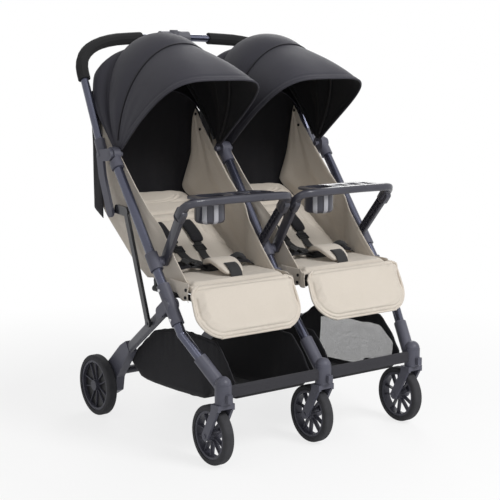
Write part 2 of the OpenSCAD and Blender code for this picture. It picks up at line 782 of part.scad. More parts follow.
// One sheet between two angles. First below 90 stands for the panel that ends at the rear screen.
module canopy_sheet(first, last, inset, rows = 7) {
  function sheet(depth) = [
    for (i = [0 : rows]) [
      for (k = [-arch_steps : arch_steps])
        let (share = i / rows)
        let (radius0 = canopy_radius(first + (last - first) * share) - inset - depth)
        let (half = canopy_half - inset - depth)
        let (r = arch_r(arch_steps - abs(k), radius0))
        let (start = low_angle(r, first))
        let (x = arch_x(arch_steps - abs(k), radius0, half))
        canopy_point(k < 0 ? -x : x, r, start + (last - start) * share)
    ]
  ];
  sheet_solid(sheet(canopy_t), sheet(0));
}

module canopy_panel(side, first, last, inset) {
  edge = canopy_half - inset;
  translate([side * seat_x, 0, 0]) difference() {
    union() {
      canopy_sheet(first, last, inset);
      for (s = [-1, 1])
        cross_rod(s > 0 ? edge - bow_ring_t : -edge, s > 0 ? edge : -edge + bow_ring_t, hub_yz, bow_ring_r);
    }
    cross_rod(-canopy_half - 1, canopy_half + 1, hub_yz, canopy_pin_r + run);
  }
}
module canopy_backs() {
  color(charcoal) centred() for (side = [-1, 1]) canopy_panel(side, canopy_full_angle,
    canopy_back_angle, 0);
}
module canopy_mid_left() color(charcoal) centred() canopy_panel(-1, canopy_mid_angle,
  canopy_visor_angle - 0.6, canopy_step);
module canopy_mid_right() color(charcoal) centred() canopy_panel(1, canopy_mid_angle,
  canopy_visor_angle - 0.6, canopy_step);
module canopy_visor_left() color(charcoal) centred() canopy_panel(-1, canopy_visor_angle,
  brim_angle, 2 * canopy_step);
module canopy_visor_right() color(charcoal) centred() canopy_panel(1, canopy_visor_angle,
  brim_angle, 2 * canopy_step);

// Push handle

handle_normal = [0, handle_dir[1], -handle_dir[0]];
function bar_point(x) = [x, bar_y - bar_bow * pow(x / handle_x, 2),
  bar_z - bar_drop * pow(x / handle_x, 2)];
function bend_point(side, t) =
  let (a = handle_point(side, bend_start_z), b = handle_point(side, corner_yz[1]),
    c = bar_point(side * bend_end_x))
  pow(1 - t, 2) * a + 2 * t * (1 - t) * b + t * t * c;
socket_z = handle_base_yz[1] + 14;
grip_low_z = bend_start_z - 17;
bend_steps = 9;
// The part of the bar on one side, from a height on the side tube to a distance from the middle
function half_bar(side, z, x_end, steps) = concat(
  [handle_point(side, z)],
  [for (k = [0 : bend_steps]) bend_point(side, k / bend_steps)],
  [for (k = [1 : steps]) bar_point(side * (bend_end_x + (x_end - bend_end_x) * k / steps))]
);
function backwards(list) = [for (k = [len(list) - 1 : -1 : 0]) list[k]];

module push_bar() {
  left = half_bar(-1, socket_z, 0, 8);
  right = half_bar(1, socket_z, bend_end_x / 8, 7);
  color(metal) centred() swept_rod(concat(left, backwards(right)), handle_normal, handle_r);
}
module grips() {
  color(black) centred() {
    swept_sleeve(half_bar(-1, grip_low_z, grip_gap / 2, 6), handle_normal, grip_d / 2, handle_r + 0.6);
    swept_sleeve(backwards(half_bar(1, grip_low_z, grip_gap / 2, 6)), handle_normal, grip_d / 2,
      handle_r + 0.6);
  }
}

button_seat = 5;
module fold_housing() {
  mid_yz = [bar_y, bar_z];
  color(plastic) centred() difference() {
    union() {
      cross_rod(-fold_housing_len / 2, fold_housing_len / 2, mid_yz, handle_r + fold_housing_wall);
      translate([0, bar_y, bar_z]) cylinder(h = fold_housing_r, r = fold_button_d / 2 + 6);
    }
    cross_rod(-fold_housing_len, fold_housing_len, mid_yz, handle_r + 0.9);
    translate([0, bar_y, bar_z + fold_housing_r - button_seat]) cylinder(h = 20,
      r = fold_button_d / 2 + run);
  }
}
module fold_button() {
  color("silver") centred()
    translate([0, bar_y, bar_z + fold_housing_r - button_seat + fold_button_travel + 0.3])
      cylinder(h = button_seat, r = fold_button_d / 2);
}

lever_r = 16;
socket_len = 46;
socket_rise = socket_len * cos(handle_tilt);
module handle_levers() {
  knee = handle_base_yz + [-10, -52];
  color(plastic) centred() for (side = [-1, 1]) mirror([side < 0 ? 1 : 0, 0, 0]) difference() {
    union() {
      across(lever_in, lever_in + lever_t) {
        link2d(hub_yz, handle_base_yz, lever_r);
        link2d(handle_base_yz, knee, lever_r - 0.7);
        link2d(knee, lever_end_yz, lever_r - 1.4);
      }
      rod(handle_point(1, handle_base_yz[1]), handle_point(1, handle_base_yz[1] + socket_rise),
        handle_r + 3.5);
      cross_rod(frame_x - 8, lever_in + 1, lever_end_yz, 5);
    }
    cross_rod(lever_in - 1, lever_in + lever_t + 1, hub_yz, hub_pin_r + run);
    rod(handle_point(1, socket_z - 1), handle_point(1, handle_base_yz[1] + 2 * socket_rise),
      handle_r + run);
  }
}

// Rear frame

function leg_point(i, share) =
  at(frame_xs[i] + (rear_xs[i] - frame_xs[i]) * share,
    leg_pivot_yz + share * (rear_leg_end - leg_pivot_yz));
module rear_leg(i, grow = 0) {
  oval_beam(leg_point(i, 0), leg_point(i, 1 + grow / 100), rear_leg_h + 2 * grow, rear_leg_w + 2 * grow);
}
strut_in = abs(leg_point(0, strut_share)[0]) + rear_leg_w / 2 + strut_clear;
strut_pin_r = 4;

module rear_legs() {
  color(metal) centred() {
    difference() {
      union() {
        for (i = [0 : 2]) {
          rear_leg(i);
          cross_rod(frame_xs[i] - leg_ear_in + 0.4, frame_xs[i] + leg_ear_in - 0.4, leg_pivot_yz,
            leg_eye_r);
        }
      }
      for (i = [0 : 2]) cross_rod(frame_xs[i] - 20, frame_xs[i] + 20, leg_pivot_yz, leg_pin_d / 2 + run);
      // The beams stop short of the front of their eyes
      for (i = [0 : 2])
        across(frame_xs[i] - 20, frame_xs[i] + 20) difference() {
          translate(leg_pivot_yz) rotate(atan2(tube_dir[1], tube_dir[0])) translate([-30,
            0]) square([60, 30]);
          translate(leg_pivot_yz) circle(leg_eye_r);
        }
    }
    for (side = [-1, 1])
      cross_rod(side < 0 ? -strut_in - strut_t - 2 : strut_in - 4,
        side < 0 ? -strut_in + 4 : strut_in + strut_t + 2,
        strut_low_yz, strut_pin_r);
    for (s = [0, 1]) {
      x1 = rear_xs[s] + (s == 0 ? bracket_t / 2 : mid_bracket_half) + fit;
      x2 = rear_xs[s + 1] - (s == 0 ? mid_bracket_half : bracket_t / 2) - fit;
      cross_rod(x1, x2, rear_bar_yz, rear_bar_d / 2);
    }
  }
}

mid_bracket_half = rear_wheel_w / 2 + 15;
module bracket_side2d() {
  e = rear_leg_end;
  a = rear_axle_yz;
  polygon([e + [-26, 1], e + [-8, 28], e + [22, 11], a + [17, 32], a + [23, -6], a + [5, -24],
    a + [-35, -24], a + [-67, -6], a + [-75, 34]]);
}
module rear_brackets() {
  color(plastic) centred() for (i = [0 : 2]) {
    half = i == 1 ? mid_bracket_half : bracket_t / 2;
    difference() {
      across(rear_xs[i] - half, rear_xs[i] + half) bracket_side2d();
      rear_leg(i, fit);
      cross_rod(rear_xs[i] - half - 1, rear_xs[i] + half + 1, rear_axle_yz, rear_axle_d / 2 + fit);
      if (i == 1)
        cross_rod(-rear_wheel_w / 2 - 3.5, rear_wheel_w / 2 + 3.5, rear_axle_yz, rear_wheel_r + 8);
    }
  }
}

rear_wheel_mid_x = rear_x + bracket_t / 2 + 3 + rear_wheel_w / 2;
rear_wheel_xs = [-rear_wheel_mid_x, 0, rear_wheel_mid_x];
hub_cap_t = 3;
module rear_axles() {
  reach = rear_wheel_mid_x + rear_wheel_w / 2 - 4;
  color("silver") centred() {
    cross_rod(-reach, -rear_x + bracket_t / 2, rear_axle_yz, rear_axle_d / 2);
    cross_rod(rear_x - bracket_t / 2, reach, rear_axle_yz, rear_axle_d / 2);
    cross_rod(-mid_bracket_half, mid_bracket_half, rear_axle_yz, rear_axle_d / 2);
  }
}

latch_r = 12;
module fold_struts() {
  eye_r = 10;
  color(metal) centred() for (side = [-1, 1]) mirror([side < 0 ? 1 : 0, 0, 0]) difference() {
    across(strut_in + 0.4, strut_in + 0.4 + strut_t) {
      link2d(strut_low_yz, strut_top_yz, 8);
      link2d(strut_low_yz, strut_low_yz + [0, 4], eye_r);
      link2d(strut_top_yz, strut_top_yz + [42, 3], latch_r);
    }
    cross_rod(strut_in - 2, strut_in + strut_t + 4, strut_low_yz, strut_pin_r + run);
  }
}

pedal_x = rear_x / 2 + 4;
module brake_pedal() {
  pad_yz = rear_bar_yz + [92, 16];
  color(plastic) centred() difference() {
    union() {
      cross_rod(pedal_x - 26, pedal_x + 26, rear_bar_yz, rear_bar_d / 2 + 4.5);
      across(pedal_x - 14, pedal_x + 14) link2d(rear_bar_yz, pad_yz, 6);
      across(pedal_x - pedal_w / 2, pedal_x + pedal_w / 2) link2d(pad_yz + [-16, 2], pad_yz + [22, 2], 5);
    }
    cross_rod(pedal_x - 40, pedal_x + 40, rear_bar_yz, rear_bar_d / 2 + run);
  }
}

// Wheels

tyre_t = 14;
spoke_count = 5;
// Rim with hub and forked spokes, turning about X
module wheel_rim(d, w, axle_d, hub_half, cap) {
  rim_r = d / 2 - tyre_t - fit;
  rim_in = rim_r - 7;
  fork_r = 0.52 * rim_in;
  rotate([0, 90, 0]) difference() {
    union() {
      rotate_extrude() translate([rim_in, -w / 2 + 2]) square([rim_r - rim_in, w - 4]);
      translate([0, 0, -hub_half]) cylinder(h = 2 * hub_half, r = 15);
      for (k = [0 : spoke_count - 1]) rotate(360 * k / spoke_count) translate([0, 0,
        -7]) linear_extrude(14) {
        bar2d([12, 0], [fork_r, 0], 4.5);
        for (s = [-1, 1]) bar2d([fork_r, 0], [(rim_in + 2) * cos(s * 19), (rim_in + 2) * sin(s * 19)], 3.2);
      }
    }
    translate([0, 0, -w]) cylinder(h = cap > 0 ? w + hub_half - cap : 2 * w, r = axle_d / 2 + run);
  }
}
module wheel_tyre(d, w) {
  corner = 7;
  low = d / 2 - tyre_t;
  rotate([0, 90, 0]) rotate_extrude($fn = 72) {
    translate([low, -w / 2]) square([tyre_t - corner, w]);
    translate([low, -w / 2 + corner]) square([tyre_t, w - 2 * corner]);
    for (s = [-1, 1]) translate([d / 2 - corner, s * (w / 2 - corner)]) circle(corner);
  }
}

// The hub cap of an outer wheel closes the axle hole on its outer side
module rear_wheel(i) {
  color(plastic) centred() translate(at(rear_wheel_xs[i], rear_axle_yz)) mirror([i == 0 ? 1 : 0, 0, 0])
    wheel_rim(rear_wheel_d, rear_wheel_w, rear_axle_d, rear_wheel_w / 2 + 1, i == 1 ? 0 : hub_cap_t);
}
module rear_wheel_left() rear_wheel(0);
module rear_wheel_mid() rear_wheel(1);
module rear_wheel_right() rear_wheel(2);
module rear_tyre(i) {
  color(rubber) centred() translate(at(rear_wheel_xs[i], rear_axle_yz)) wheel_tyre(rear_wheel_d,
    rear_wheel_w);
}
module rear_tyre_left() rear_tyre(0);
module rear_tyre_mid() rear_tyre(1);
module rear_tyre_right() rear_tyre(2);

front_axle_yz = [caster_trail, front_axle_z];
module front_wheel(i) {
  color(plastic) centred() translate(at(caster_xs[i], front_axle_yz))
    wheel_rim(front_wheel_d, front_wheel_w, front_axle_d, front_wheel_w / 2 + 2, 0);
}
module front_wheel_left() front_wheel(0);
module front_wheel_mid() front_wheel(1);
module front_wheel_right() front_wheel(2);
module front_tyre(i) {
  color(rubber) centred() translate(at(caster_xs[i], front_axle_yz)) wheel_tyre(front_wheel_d,
    front_wheel_w);
}
module front_tyre_left() front_tyre(0);
module front_tyre_mid() front_tyre(1);
module front_tyre_right() front_tyre(2);

// Fork with its swivel stem, and the axle through its legs
module caster_fork(i) {
  fork_out = fork_in + fork_t;
  crown_h = fork_crown_high - fork_crown_low;
  color(plastic) centred() translate([caster_xs[i], 0, 0]) {
    difference() {
      union() {
        translate([0, 0,
          fork_crown_low]) cylinder(h = housing_low + housing_h - 7 - fork_crown_low, r = stem_d / 2);
        translate([-fork_out, -14, fork_crown_low]) cube([2 * fork_out, 32, crown_h]);
        for (s = [-1, 1])
          across(s > 0 ? fork_in : -fork_out, s > 0 ? fork_out : -fork_in) {
            bar2d([2, fork_crown_low], front_axle_yz, 12);
            translate([-14, fork_crown_low - 4]) square([32, crown_h + 4]);
          }
      }
      cross_rod(-fork_out - 1, fork_out + 1, front_axle_yz, front_axle_d / 2 + fit);
    }
    cross_rod(-fork_out - 2, fork_out + 2, front_axle_yz, front_axle_d / 2);
  }
}
module caster_fork_left() caster_fork(0);
module caster_fork_mid() caster_fork(1);
module caster_fork_right() caster_fork(2);

// Swivel lock tab in front of a caster housing
module swivel_lock(i) {
  color(plastic) centred() translate([caster_xs[i] - 7, lock_y - lock_t, housing_low + lock_travel + 1])
    cube([14, lock_t, 20]);
}
module swivel_lock_left() swivel_lock(0);
module swivel_lock_mid() swivel_lock(1);
module swivel_lock_right() swivel_lock(2);

// Trays

module tray(side) {
  mid = side * seat_x;
  cup_x = mid + cup_off;
  color(plastic) centred() difference() {
    union() {
      for (s = [-1, 1])
        across(mid + s * tray_arm_off - tray_arm_t / 2, mid + s * tray_arm_off + tray_arm_t / 2) {
          link2d(tray_pivot_yz, tray_joint_yz, tray_bar_d / 2 + 1);
          link2d(tray_joint_yz, tray_bar_yz, tray_bar_d / 2 - 0.7);
        }
      cross_rod(mid - tray_half - 0.6, mid + tray_half + 0.6, tray_bar_yz, tray_bar_d / 2);
      translate([mid - deck_half, tray_bar_yz[0], tray_bar_yz[1] - tray_deck_t / 2])
        cube([2 * deck_half, deck_depth, tray_deck_t]);
      translate([cup_x, cup_y, tray_bar_yz[1] - cup_depth]) cylinder(h = cup_depth, r = cup_d / 2);
    }
    for (s = [-1, 1])
      cross_rod(mid + s * tray_arm_off - tray_arm_t, mid + s * tray_arm_off + tray_arm_t, tray_pivot_yz,
        tray_pin_d / 2 + run);
    translate([cup_x, cup_y, tray_bar_yz[1] - cup_depth + cup_wall])
      cylinder(h = cup_depth + 20, r = cup_d / 2 - cup_wall);
    for (k = [0 : 2])
      translate([mid + slot_w / 2 + slot_pitch * k, tray_bar_yz[0] + tray_bar_d,
        tray_bar_yz[1] - tray_deck_t])
        cube([slot_w, slot_len, 3 * tray_deck_t]);
  }
}
module tray_left() tray(-1);
module tray_right() tray(1);

front_tubes();
leg_sleeves();
frame_hubs();
caster_housings();
front_bars();
seat_frames();
tray_brackets();
frame_rivets();
baskets();
seat_pad_left();
seat_pad_right();
seat_wings();
rear_screens();
waist_straps();
crotch_pads();
buckles();
canopy_backs();
push_bar();
grips();
fold_housing();
handle_levers();
fold_button();
rear_legs();
rear_brackets();
rear_axles();
fold_struts();
brake_pedal();
rear_wheel_left();
rear_wheel_mid();
rear_wheel_right();
rear_tyre_left();
rear_tyre_mid();
rear_tyre_right();
caster_fork_left();
caster_fork_mid();
caster_fork_right();
front_wheel_left();
front_wheel_mid();
front_wheel_right();
front_tyre_left();
front_tyre_mid();
front_tyre_right();
swivel_lock_left();
swivel_lock_mid();
swivel_lock_right();
canopy_mid_left();
canopy_mid_right();
canopy_visor_left();
canopy_visor_right();
backrest_left();
backrest_right();
shoulder_straps_left();
shoulder_straps_right();
leg_rest_left();
leg_rest_right();
tray_left();
tray_right();
buckle_button_left();
buckle_button_right();
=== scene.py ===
import json
import math

import bmesh
import bpy
import numpy as np
from mathutils import Matrix, Vector, noise


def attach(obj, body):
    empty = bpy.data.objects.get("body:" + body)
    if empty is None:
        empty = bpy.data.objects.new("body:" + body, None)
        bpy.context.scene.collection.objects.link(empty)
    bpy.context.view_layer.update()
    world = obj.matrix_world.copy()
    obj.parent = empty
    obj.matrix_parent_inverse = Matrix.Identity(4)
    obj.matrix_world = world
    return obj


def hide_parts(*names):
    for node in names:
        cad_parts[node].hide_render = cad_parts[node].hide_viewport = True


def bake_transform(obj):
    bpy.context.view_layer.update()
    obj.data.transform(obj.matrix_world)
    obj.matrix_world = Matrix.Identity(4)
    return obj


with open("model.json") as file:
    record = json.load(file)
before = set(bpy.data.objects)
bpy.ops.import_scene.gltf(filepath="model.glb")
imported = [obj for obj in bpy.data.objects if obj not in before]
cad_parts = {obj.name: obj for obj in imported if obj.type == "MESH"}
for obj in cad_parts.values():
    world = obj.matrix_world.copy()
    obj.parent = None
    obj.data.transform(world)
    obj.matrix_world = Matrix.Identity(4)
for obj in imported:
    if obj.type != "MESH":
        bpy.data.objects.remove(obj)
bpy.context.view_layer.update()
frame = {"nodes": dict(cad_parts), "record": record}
nodes = frame["nodes"]
scene = bpy.context.scene

# Measures repeated from the part's source, in metres, in the shared frame
Y_MID = 0.3385
SEAT_X = 0.178
SIDES = (("left", -1), ("right", 1))
HANDS = (("a", -1), ("b", 1))


# Finishes


class Value:
    """A shader socket that takes part in Python expressions."""

    def __init__(self, finish, socket):
        self.finish, self.socket = finish, socket

    def maths(self, operation, *others):
        return self.finish.node("ShaderNodeMath", {"operation": operation}, [self, *others])

    def __add__(self, other):
        return self.maths("ADD", other)

    def __mul__(self, other):
        return self.maths("MULTIPLY", other)

    def __sub__(self, other):
        return self.maths("SUBTRACT", other)

    def __rsub__(self, other):
        return self.finish.node("ShaderNodeMath", {"operation": "SUBTRACT"}, [other, self])

    def __pow__(self, other):
        return self.maths("POWER", other)


class Finish:
    """A procedural material, built from its Principled shader outwards."""

    def __init__(self, name, **constants):
        self.material = bpy.data.materials.new(name)
        self.material.use_nodes = True
        self.tree = self.material.node_tree
        self.shader = self.tree.nodes["Principled BSDF"]
        for socket, value in constants.items():
            self.shader.inputs[socket.replace("_", " ")].default_value = value

    def node(self, kind, settings=None, inputs=(), output=0):
        made = self.tree.nodes.new(kind)
        for key, value in (settings or {}).items():
            setattr(made, key, value)
        for key, value in inputs.items() if isinstance(inputs, dict) else enumerate(inputs):
            self.put(made.inputs[key], value)
        return Value(self, made.outputs[output])

    def put(self, socket, value):
        if isinstance(value, Value):
            self.tree.links.new(value.socket, socket)
        else:
            socket.default_value = value

    def place(self):
        return self.node("ShaderNodeTexCoord", output="Object")

    def axes(self, vector):
        split = self.tree.nodes.new("ShaderNodeSeparateXYZ")
        self.put(split.inputs[0], vector)
        return [Value(self, out) for out in split.outputs]

    def noise(self, scale, detail, vector=None):
        vector = vector or self.place()
        return self.node("ShaderNodeTexNoise", None, {"Vector": vector, "Scale": scale, "Detail": detail})

    def stretched(self, scale):
        """The place on the object, drawn out along its axes."""
        return self.node("ShaderNodeMapping", None, {"Vector": self.place(), "Scale": scale})

    def tint(self, value, low, dark, high, light):
        """Runs the base colour from dark to light as a value goes from low to high."""
        made = self.tree.nodes.new("ShaderNodeValToRGB")
        for element, position, colour in zip(made.color_ramp.elements, (low, high), (dark, light)):
            element.position = position
            element.color = (*colour, 1)
        self.put(made.inputs[0], value)
        self.set("Base Color", Value(self, made.outputs[0]))

    def rough(self, value, low, high):
        """Runs the roughness from low to high as a value goes from 0 to 1."""
        self.set("Roughness", value * (high - low) + low)

    def set(self, socket, value):
        self.put(self.shader.inputs[socket], value)

    def bump(self, height, strength, distance, base=None):
        inputs = {"Height": height, "Strength": strength, "Distance": distance}
        if base is not None:
            inputs["Normal"] = base
        return self.node("ShaderNodeBump", None, inputs)


def shade(colour, share):
    return tuple(c * share for c in colour)


def moulded_plastic(name, colour, rough, coat=0.0):
    """Matte plastic with the fine grain of a textured mould, a little worn."""
    finish = Finish(name, Roughness=rough, Coat_Weight=coat, Specular_IOR_Level=0.28)
    cloud = finish.noise(18.0, 3.0)
    finish.tint(cloud, 0.3, shade(colour, 0.82), 0.7, colour)
    finish.rough(cloud, rough - 0.07, rough + 0.07)
    finish.set("Normal", finish.bump(finish.noise(900.0, 1.0), 0.25, 0.0004))
    return finish.material


def metallic_paint(name, colour, rough, metal=0.75):
    """Painted tube: metal flakes under a clear coat."""
    finish = Finish(name, Metallic=metal, Coat_Weight=0.35, Coat_Roughness=0.12)
    flakes = finish.noise(2600.0, 0.0)
    cloud = finish.noise(6.0, 2.0)
    finish.tint(flakes, 0.35, colour, 0.75, shade(colour, 1.25))
    finish.rough(cloud, rough - 0.05, rough + 0.06)
    return finish.material


def woven(name, light, dark, thread=0.0011, sheen=0.15, rough=0.92, gloss=0.2):
    """Melange cloth: fine crossed threads, each a little lighter or darker than the next."""
    finish = Finish(name, Roughness=rough, Sheen_Weight=sheen, Sheen_Roughness=0.5,
        Specular_IOR_Level=gloss)
    turns = 2 * math.pi / thread
    x, y, z = finish.axes(finish.place())
    warp = ((x + y * 0.45) * turns).maths("SINE")
    weft = ((z + y * 0.8) * turns).maths("SINE")
    weave = warp * weft * 0.5 + 0.5
    fibre = finish.noise(1500.0, 2.0, finish.stretched((1, 1, 0.22)))
    cloud = finish.noise(9.0, 3.0)
    tone = fibre * 0.62 + weave * 0.22 + cloud * 0.16
    finish.tint(tone, 0.30, dark, 0.68, light)
    finish.rough(fibre, rough - 0.06, min(1.0, rough + 0.05))
    wrinkle = finish.bump(finish.noise(26.0, 3.0), 0.18, 0.004)
    finish.set("Normal", finish.bump(weave + fibre, 0.22, 0.0004, wrinkle))
    return finish.material


def foam_grip(name, colour):
    """Foam rubber with open pores."""
    finish = Finish(name, Roughness=0.85, Specular_IOR_Level=0.3)
    pores = finish.node("ShaderNodeTexVoronoi", None, {"Vector": finish.place(), "Scale": 420.0})
    cloud = finish.noise(30.0, 2.0)
    finish.tint(cloud, 0.3, shade(colour, 0.8), 0.7, colour)
    finish.set("Normal", finish.bump(pores, 0.35, 0.0006))
    return finish.material


def tyre_rubber(name, colour):
    """Foam rubber tyre, dusty where it rolls."""
    finish = Finish(name, Specular_IOR_Level=0.3)
    dust = finish.noise(40.0, 4.0)
    finish.tint(dust, 0.3, shade(colour, 0.8), 0.72, shade(colour, 1.25))
    finish.rough(dust, 0.72, 0.95)
    finish.set("Normal", finish.bump(finish.noise(700.0, 1.0), 0.2, 0.0005))
    return finish.material


def bare_steel(name):
    finish = Finish(name, Metallic=1.0)
    brush = finish.noise(300.0, 2.0, finish.stretched((0.1, 1, 1)))
    finish.tint(brush, 0.3, (0.48, 0.48, 0.5), 0.7, (0.66, 0.66, 0.68))
    finish.rough(brush, 0.22, 0.42)
    return finish.material


def webbing_cloth(name, colour, rib=0.0016):
    """Narrow woven strap with ribs along it."""
    finish = Finish(name, Roughness=0.8, Sheen_Weight=0.1)
    x, _, _ = finish.axes(finish.place())
    rib_wave = (x * (2 * math.pi / rib)).maths("SINE") * 0.5 + 0.5
    fibre = finish.noise(1200.0, 2.0)
    tone = rib_wave * 0.5 + fibre * 0.5
    finish.tint(tone, 0.25, shade(colour, 0.6), 0.75, shade(colour, 1.5))
    finish.set("Normal", finish.bump(tone, 0.3, 0.0006))
    return finish.material


def net_cloth(name, colour, cell=0.0042):
    """Open net: threads round see-through cells."""
    finish = Finish(name, Roughness=0.8)
    _, y, z = finish.axes(finish.place())
    turns = 2 * math.pi / cell
    holes = ((y + z) * turns).maths("SINE") * ((y - z) * turns).maths("SINE")
    fibre = finish.noise(900.0, 2.0)
    finish.tint(fibre, 0.3, shade(colour, 0.7), 0.7, colour)
    finish.set("Alpha", 1 - holes.maths("GREATER_THAN", -0.05) * 0.92)
    return finish.material


TUBE_PAINT = metallic_paint("tube_paint", (0.068, 0.072, 0.105), 0.25)
LEG_PAINT = moulded_plastic("leg_paint", (0.070, 0.071, 0.088), 0.40)
STRUT_PAINT = metallic_paint("strut_paint", (0.022, 0.023, 0.027), 0.26, 0.3)
FRAME_PLASTIC = moulded_plastic("frame_plastic", (0.100, 0.101, 0.130), 0.42)
TRAY_PLASTIC = moulded_plastic("tray_plastic", (0.050, 0.050, 0.066), 0.30, coat=0.3)
WHEEL_PLASTIC = moulded_plastic("wheel_plastic", (0.068, 0.068, 0.088), 0.44)
GREY_PLASTIC = moulded_plastic("grey_plastic", (0.13, 0.13, 0.15), 0.42)
# Pale plastic for the painted highlights on the cup holders.
HIGHLIGHT_PLASTIC = moulded_plastic("painted_highlight_plastic", (0.40, 0.40, 0.43), 0.35)
BLACK_PLASTIC = moulded_plastic("black_plastic", (0.016, 0.016, 0.018), 0.45)
TYRE = tyre_rubber("tyre", (0.040, 0.040, 0.044))
FOAM = foam_grip("foam", (0.014, 0.014, 0.015))
STEEL = bare_steel("steel")
BEIGE = woven("beige_cloth", (0.690, 0.630, 0.556), (0.562, 0.506, 0.436))
CHARCOAL = woven("charcoal_cloth", (0.031, 0.030, 0.042), (0.016, 0.0155, 0.022),
    sheen=0.04, rough=0.66, gloss=0.34)
BLACK_CLOTH = woven("black_cloth", (0.020, 0.0195, 0.0235), (0.010, 0.0098, 0.0118), sheen=0.1)
# The rear screens' cloth is the black cloth painted lighter: painted light on the shaded screens.
SCREEN_PAINTED_LIGHT_CLOTH = woven("black_cloth_painted_light", (0.022, 0.0215, 0.025), (0.012, 0.0117, 0.014), sheen=0.1)
BAND_CLOTH = woven("band_cloth", (0.046, 0.045, 0.052), (0.028, 0.0275, 0.032), sheen=0.1)
LINING = woven("lining_cloth", (0.013, 0.013, 0.015), (0.007, 0.007, 0.008), sheen=0.05)
WEBBING = webbing_cloth("webbing", (0.012, 0.012, 0.013))
NET = net_cloth("net_cloth", (0.10, 0.098, 0.104))

node_finish = {
    "painted_tube": TUBE_PAINT, "frame_plastic": FRAME_PLASTIC, "wheel_plastic": WHEEL_PLASTIC,
    "grey_plastic": GREY_PLASTIC, "bare_steel": STEEL, "tyre_rubber": TYRE, "foam": FOAM,
    "black_frame": BLACK_PLASTIC, "beige_fabric": BEIGE, "charcoal_fabric": CHARCOAL,
    "black_fabric": BLACK_CLOTH, "webbing": WEBBING,
}
for row in frame["record"]["subparts"]:
    node = nodes[row["node"]]
    node.data.materials.clear()
    node.data.materials.append(node_finish[row["material_slot"]])
for name, finish in (("fold_struts", STRUT_PAINT), ("rear_legs", LEG_PAINT), ("front_bars", BAND_CLOTH)):
    nodes[name].data.materials[0] = finish


# Cloth and padding, placed in millimetres from the middle, the caster axle and the floor


def place(points):
    """Millimetres from the middle, the caster axle and the floor, as metres in the shared frame."""
    return np.asarray(points, float) / 1000 - (0.0, Y_MID, 0.0)


def seat_mid(side):
    """How far across the middle of a seat is, in millimetres."""
    return side * SEAT_X * 1000


def resample(line, count):
    """Points at equal steps along a line of points."""
    steps = np.linalg.norm(np.diff(line, axis=0), axis=1)
    along = np.concatenate([[0], np.cumsum(steps)])
    goal = np.linspace(0, along[-1], count)
    return np.stack([np.interp(goal, along, line[:, k]) for k in range(line.shape[1])], axis=1)


def heading(angle):
    return np.array((math.cos(angle), math.sin(angle)))


def quarter_turn(way):
    return way[::-1] * (-1, 1)


def smooth(t):
    t = np.clip(t, 0, 1)
    return t * t * (3 - 2 * t)


def linked(name, data):
    """A new object in the scene."""
    made = bpy.data.objects.new(name, data)
    scene.collection.objects.link(made)
    return made


def bell(distance, width):
    return np.exp(-((distance / width) ** 2))


def piece_of(name, points, faces, *finishes):
    """A new smooth mesh piece from points in millimetres."""
    mesh = bpy.data.meshes.new(name)
    mesh.from_pydata(place(points).tolist(), [], [list(f) for f in faces])
    mesh.validate()
    for finish in finishes:
        mesh.materials.append(finish)
    mesh.shade_smooth()
    return linked(name, mesh)


def grid_faces(rows, columns, wrap=False):
    index = np.arange(rows * columns).reshape(rows, columns)
    if wrap:
        index = np.concatenate([index, index[:, :1]], axis=1)
    quads = np.stack([index[:-1, :-1], index[:-1, 1:], index[1:, 1:], index[1:, :-1]], axis=-1)
    return quads.reshape(-1, 4)


def grid_normals(grid, towards):
    """The directions square to a grid of points, on the side that towards is on."""
    normal = np.cross(np.gradient(grid, axis=1), np.gradient(grid, axis=0))
    normal = normal / np.maximum(np.linalg.norm(normal, axis=2, keepdims=True), 1e-9)
    return normal * np.sign((towards * normal).sum(axis=2, keepdims=True))


def named(piece, name):
    piece.name = piece.data.name = name
    return piece


def deselect():
    bpy.ops.object.select_all(action="DESELECT")


def only(piece):
    """Makes a piece the one that is selected and active."""
    deselect()
    piece.select_set(True)
    bpy.context.view_layer.objects.active = piece


def applied(piece, kind, **settings):
    """Adds a modifier and applies it."""
    modifier = piece.modifiers.new(kind.lower(), kind)
    for key, value in settings.items():
        setattr(modifier, key, value)
    only(piece)
    bpy.ops.object.modifier_apply(modifier=modifier.name)
    return piece


def finer(piece):
    """Divides the faces of a piece once."""
    return applied(piece, "SUBSURF", levels=1, render_levels=1)


def read(mesh, kind="co"):
    """The places of a mesh's points in metres, or their outward directions."""
    values = np.empty(len(mesh.vertices) * 3, np.float32)
    mesh.vertices.foreach_get(kind, values)
    return values.reshape(-1, 3).astype(float)


def write(mesh, points):
    mesh.vertices.foreach_set("co", points.astype(np.float32).ravel())
    mesh.update()


def pushed(piece, shift):
    """Moves a piece's points: shift takes places in millimetres and outward directions, and gives moves."""
    milli = (read(piece.data) + (0, Y_MID, 0)) * 1000
    write(piece.data, place(milli + shift(milli, read(piece.data, "normal"))))
    return piece


def cloth(name, grid, thick, *finishes):
    """A sheet over rows and columns of points. The grid's normal side is the outside."""
    rows, columns, _ = grid.shape
    piece = piece_of(name, grid.reshape(-1, 3), grid_faces(rows, columns)[:, ::-1], *finishes)
    lined = 1 if len(finishes) > 1 else 0
    return applied(piece, "SOLIDIFY", thickness=thick / 1000, offset=-1, material_offset=lined,
        use_even_offset=False)


def closed(name, rings, finish):
    """A piece over rings of points, closed at both ends."""
    count, sides, _ = rings.shape
    faces = [tuple(f) for f in grid_faces(count, sides, True)[:, ::-1]]
    last = (count - 1) * sides
    faces += [tuple(range(sides)), tuple(last + k for k in reversed(range(sides)))]
    return piece_of(name, rings.reshape(-1, 3), faces, finish)


